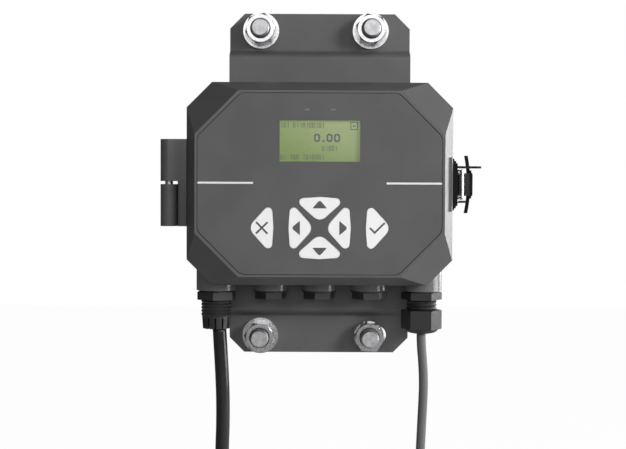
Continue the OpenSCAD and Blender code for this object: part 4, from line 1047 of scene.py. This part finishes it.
@dataclass
class Readout:
    """Dark figures and bars of the liquid crystal display, in millimetres."""

    glass_front: float = -97.45
    ink: float = 0.06
    figure_lefts: tuple[float, ...] = (-3.7, 4.05, 8.7)
    figure_size: tuple[float, float] = (3.75, 5.1)
    figure_foot: float = 26.1
    figure_stroke: float = 1.05
    point_left: float = 1.5
    point_w: float = 1.2
    corner_cut: float = 0.9
    inner_cut: float = 0.45
    icon: tuple[float, float, float, float] = (18.9, 23.4, 33.6, 38.6)
    icon_line: float = 0.45
    icon_margin: float = 1.5
    icon_bar: tuple[float, float] = (1.9, 2.7)
    small_size: tuple[float, float] = (1.45, 3.1)
    small_pitch: float = 1.98
    small_stroke: float = 0.40
    small_rows: tuple[tuple[float, float, str], ...] = (
        (-24.6, 34.9, "101 0110100101"), (-24.6, 15.2, "01 100 1010001"), (1.4, 20.6, "01001"))

    def bar(self, x0: float, x1: float, z0: float, z1: float) -> np.ndarray:
        """Outline of a filled bar."""
        return np.array([(x0, z0), (x1, z0), (x1, z1), (x0, z1)])

    def eight_sided(self, edge: float, size: tuple[float, float], cut: float) -> np.ndarray:
        """Outline of a rectangle with cut corners.

        Args:
            edge: how far it lies inside the size on each side.
            size: width and height.
            cut: length cut off each side at a corner.

        Returns:
            Its eight corners.
        """
        near, (right, top) = edge + cut, (size[0] - edge, size[1] - edge)
        return np.array([
            (near, edge), (right - cut, edge), (right, near), (right, top - cut),
            (right - cut, top), (near, top), (edge, top - cut), (edge, near)])

    def zero(
            self, left: float, foot: float, size: tuple[float, float],
            stroke: float) -> list[np.ndarray]:
        """Outlines of the figure 0 with cut corners, as eight strokes round a gap.

        Args:
            left: x of its left edge.
            foot: z of its foot.
            size: its width and height.
            stroke: width of its strokes.

        Returns:
            Its outlines.
        """
        cut = stroke * self.corner_cut
        outer = self.eight_sided(0.0, size, cut) + (left, foot)
        inner = self.eight_sided(stroke, size, cut * self.inner_cut) + (left, foot)
        strokes = np.stack([outer, np.roll(outer, -1, 0), np.roll(inner, -1, 0), inner], axis=1)
        return list(strokes)

    def square(self, x0: float, x1: float, z0: float, z1: float, line: float) -> list[np.ndarray]:
        """Outlines of a hollow square.

        Args:
            x0: its left edge.
            x1: its right edge.
            z0: its lower edge.
            z1: its upper edge.
            line: width of its line.

        Returns:
            Its four bars.
        """
        low, high = z0 + line, z1 - line
        return [
            self.bar(x0, x1, z0, low), self.bar(x0, x1, high, z1),
            self.bar(x0, x0 + line, low, high), self.bar(x1 - line, x1, low, high)]

    def build(self) -> None:
        """Makes the large figures, and the faint icon and rows of ones and zeros."""
        shapes, foot, side = [], self.figure_foot, self.point_w
        for left in self.figure_lefts:
            shapes += self.zero(left, foot, self.figure_size, self.figure_stroke)
        shapes.append(self.bar(self.point_left, self.point_left + side, foot, foot + side))
        dark = flat_shapes("readout_figures", shapes, self.glass_front - self.ink, self.ink)
        dress(dark, CRYSTAL_INK, "cover")
        x0, x1, z0, _ = self.icon
        low, high = self.icon_bar
        faint = self.square(*self.icon, self.icon_line)
        faint.append(self.bar(x0 + self.icon_margin, x1 - self.icon_margin, z0 + low, z0 + high))
        width, height = self.small_size
        for start, foot, places in self.small_rows:
            for number, place in enumerate(places):
                left = start + self.small_pitch * number
                if place == "0":
                    faint += self.zero(left, foot, self.small_size, self.small_stroke)
                elif place == "1":
                    middle = left + width / 2
                    faint.append(self.bar(middle, middle + self.small_stroke, foot, foot + height))
        thin = flat_shapes("readout_rows", faint, self.glass_front - self.ink, self.ink)
        dress(thin, FAINT_INK, "cover")


# ---------------------------------------------------------------- studio


@dataclass(frozen=True)
class Lamp:
    """A square soft lamp: its name, its middle and side in metres and its power in watts."""

    name: str
    place: tuple[float, float, float]
    size: float
    power: float


@dataclass
class Studio:
    """Camera, soft lamps, pale floor and white surroundings.

    Places and lengths are in metres, those of the lens and its sensor in millimetres, and the
    camera's pitch and roll in degrees.
    """

    camera_place: tuple[float, float, float] = (-0.0014, -0.884, 0.0025)
    camera_lens: float = 72.85
    sensor_w: float = 36.0
    pitch_down: float = 2.01
    camera_roll: float = 0.25
    floor_z: float = -0.385
    floor_reach: float = 3.0
    floor_roughness: float = 0.9
    floor_colour: Colour = (0.5, 0.5, 0.5)
    paper_white: float = 0.98
    fill: float = 0.16
    front_gloss: float = 0.10
    gloss_behind: tuple[float, float] = (-0.1, 0.5)
    gloss_right: tuple[float, float] = (0.0, 0.6)
    aim: tuple[float, float, float] = (0.0, -0.08, -0.02)
    lamps: tuple[Lamp, ...] = (
        Lamp("lamp_key", (1.15, -1.30, 0.45), 0.45, 17.0),
        Lamp("lamp_right", (1.40, -0.10, 0.12), 0.8, 16.0),
        Lamp("lamp_rim", (1.15, 0.95, 0.05), 0.5, 6.3),
        Lamp("lamp_front", (0.0, -1.9, 0.65), 1.2, 10.0))

    def camera(self) -> None:
        """Makes the camera at the photograph's viewing angle."""
        data = bpy.data.cameras.new("camera")
        data.lens = self.camera_lens
        data.sensor_width = self.sensor_w
        data.sensor_fit = "HORIZONTAL"
        made = bpy.data.objects.new("camera", data)
        made.location = self.camera_place
        tilt = Euler((math.radians(90 - self.pitch_down), 0.0, 0.0)).to_matrix()
        roll = Euler((0.0, 0.0, math.radians(self.camera_roll))).to_matrix()
        made.rotation_euler = (tilt @ roll).to_euler()
        bpy.context.scene.collection.objects.link(made)
        bpy.context.scene.camera = made

    def light(self, lamp: Lamp) -> None:
        """Makes a lamp that faces the meter.

        Args:
            lamp: its name, place, size and power.
        """
        data = bpy.data.lights.new(lamp.name, "AREA")
        data.shape = "SQUARE"
        data.size = lamp.size
        data.energy = lamp.power
        made = bpy.data.objects.new(lamp.name, data)
        made.location = lamp.place
        spot = np.array(self.aim) - np.array(lamp.place)
        turn = math.atan2(spot[1], spot[0])
        tilt = math.acos(-spot[2] / np.linalg.norm(spot))
        made.rotation_euler = (tilt, 0.0, turn - math.pi / 2)
        bpy.context.scene.collection.objects.link(made)

    def surroundings(self) -> None:
        """White world to the camera and to clear pieces.

        A glossy ray sees the same white behind the meter on its right. It fades to the dimmer
        studio in front of it and on its left.
        """
        world = bpy.data.worlds.new("studio")
        world.use_nodes = True
        bpy.context.scene.world = world
        graph = Graph(world.node_tree)
        rays = graph.node("ShaderNodeLightPath", {}, {})
        direction = graph.node("ShaderNodeTexCoord", {}, {}).outputs["Generated"]
        way = graph.node("ShaderNodeSeparateXYZ", {}, {0: direction})
        behind = Value(graph, way.outputs[1]).ramp(*self.gloss_behind)
        right = Value(graph, way.outputs[0]).ramp(*self.gloss_right)
        glossy = behind * right * (1 - self.front_gloss)
        seen = Value(graph, rays.outputs["Is Camera Ray"]).most(
            Value(graph, rays.outputs["Is Transmission Ray"]))
        is_glossy = Value(graph, rays.outputs["Is Glossy Ray"])
        strength = seen.most(
            is_glossy * (glossy + self.front_gloss) + (1 - is_glossy) * self.fill)
        shader = graph.node(
            "ShaderNodeBackground", {}, {"Color": (1, 1, 1, 1), "Strength": strength})
        graph.node("ShaderNodeOutputWorld", {}, {"Surface": shader.outputs[0]})

    def paper(self) -> bpy.types.Material:
        """White paper of the floor, mostly its own white to the camera; shadows dim the rest.

        Returns:
            The material.
        """
        made = bpy.data.materials.new("floor_paper")
        made.use_nodes = True
        graph = Graph(made.node_tree)
        lit = graph.node(
            "ShaderNodeBsdfPrincipled", {},
            {"Base Color": (*self.floor_colour, 1), "Roughness": self.floor_roughness})
        white = graph.node("ShaderNodeEmission", {}, {"Color": (1, 1, 1, 1), "Strength": 1.0})
        rays = graph.node("ShaderNodeLightPath", {}, {})
        share = Value(graph, rays.outputs["Is Camera Ray"]) * self.paper_white
        both = graph.node(
            "ShaderNodeMixShader", {}, {0: share, 1: lit.outputs[0], 2: white.outputs[0]})
        graph.node("ShaderNodeOutputMaterial", {}, {"Surface": both.outputs[0]})
        return made

    def floor(self) -> None:
        """Makes the floor, one square a little under the lowest piece."""
        reach = self.floor_reach
        corners = np.array([(-reach, -reach), (reach, -reach), (reach, reach), (-reach, reach)])
        points = np.column_stack([corners, np.full(4, self.floor_z)])
        made = make_piece("floor", points, [[0, 1, 2, 3]])
        made.data.materials.append(self.paper())

    def build(self) -> None:
        """Makes everything but the camera."""
        for lamp in self.lamps:
            self.light(lamp)
        self.surroundings()
        self.floor()
        bpy.context.scene.view_settings.view_transform = "Standard"


# ---------------------------------------------------------------- the meter


@dataclass
class Meter:
    """The flow meter: its CAD nodes with their finishes, and the pieces made on them."""

    nodes: dict[str, bpy.types.Object]

    def dress_nodes(self) -> None:
        """Gives each CAD node its own finish, or that of its slot."""
        slots = {
            name: node.material_slots[0].material.name.split(".")[0]
            for name, node in self.nodes.items()}
        for name, slot in slots.items():
            finish = OWN_FINISHES.get(name) or FINISHES[slot]
            for shell in self.nodes[name].material_slots:
                shell.material = material_of(finish)
            LOG.info("node %s, slot %s, finish %s", name, slot, finish.name)

    def build(self) -> None:
        """Makes the cables, gives the nodes their finishes and makes the pieces on the panel."""
        for lead in (black_lead(), grey_lead()):
            lead.build(self.nodes)
        self.dress_nodes()
        KeySigns().build()
        Readout().build()


def main() -> None:
    """Builds the camera, the meter and the studio."""
    logging.basicConfig(level=logging.INFO, format="%(message)s")
    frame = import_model()
    studio = Studio()
    studio.camera()
    Meter(frame["nodes"]).build()
    studio.build()


if __name__ == "__main__":
    main()
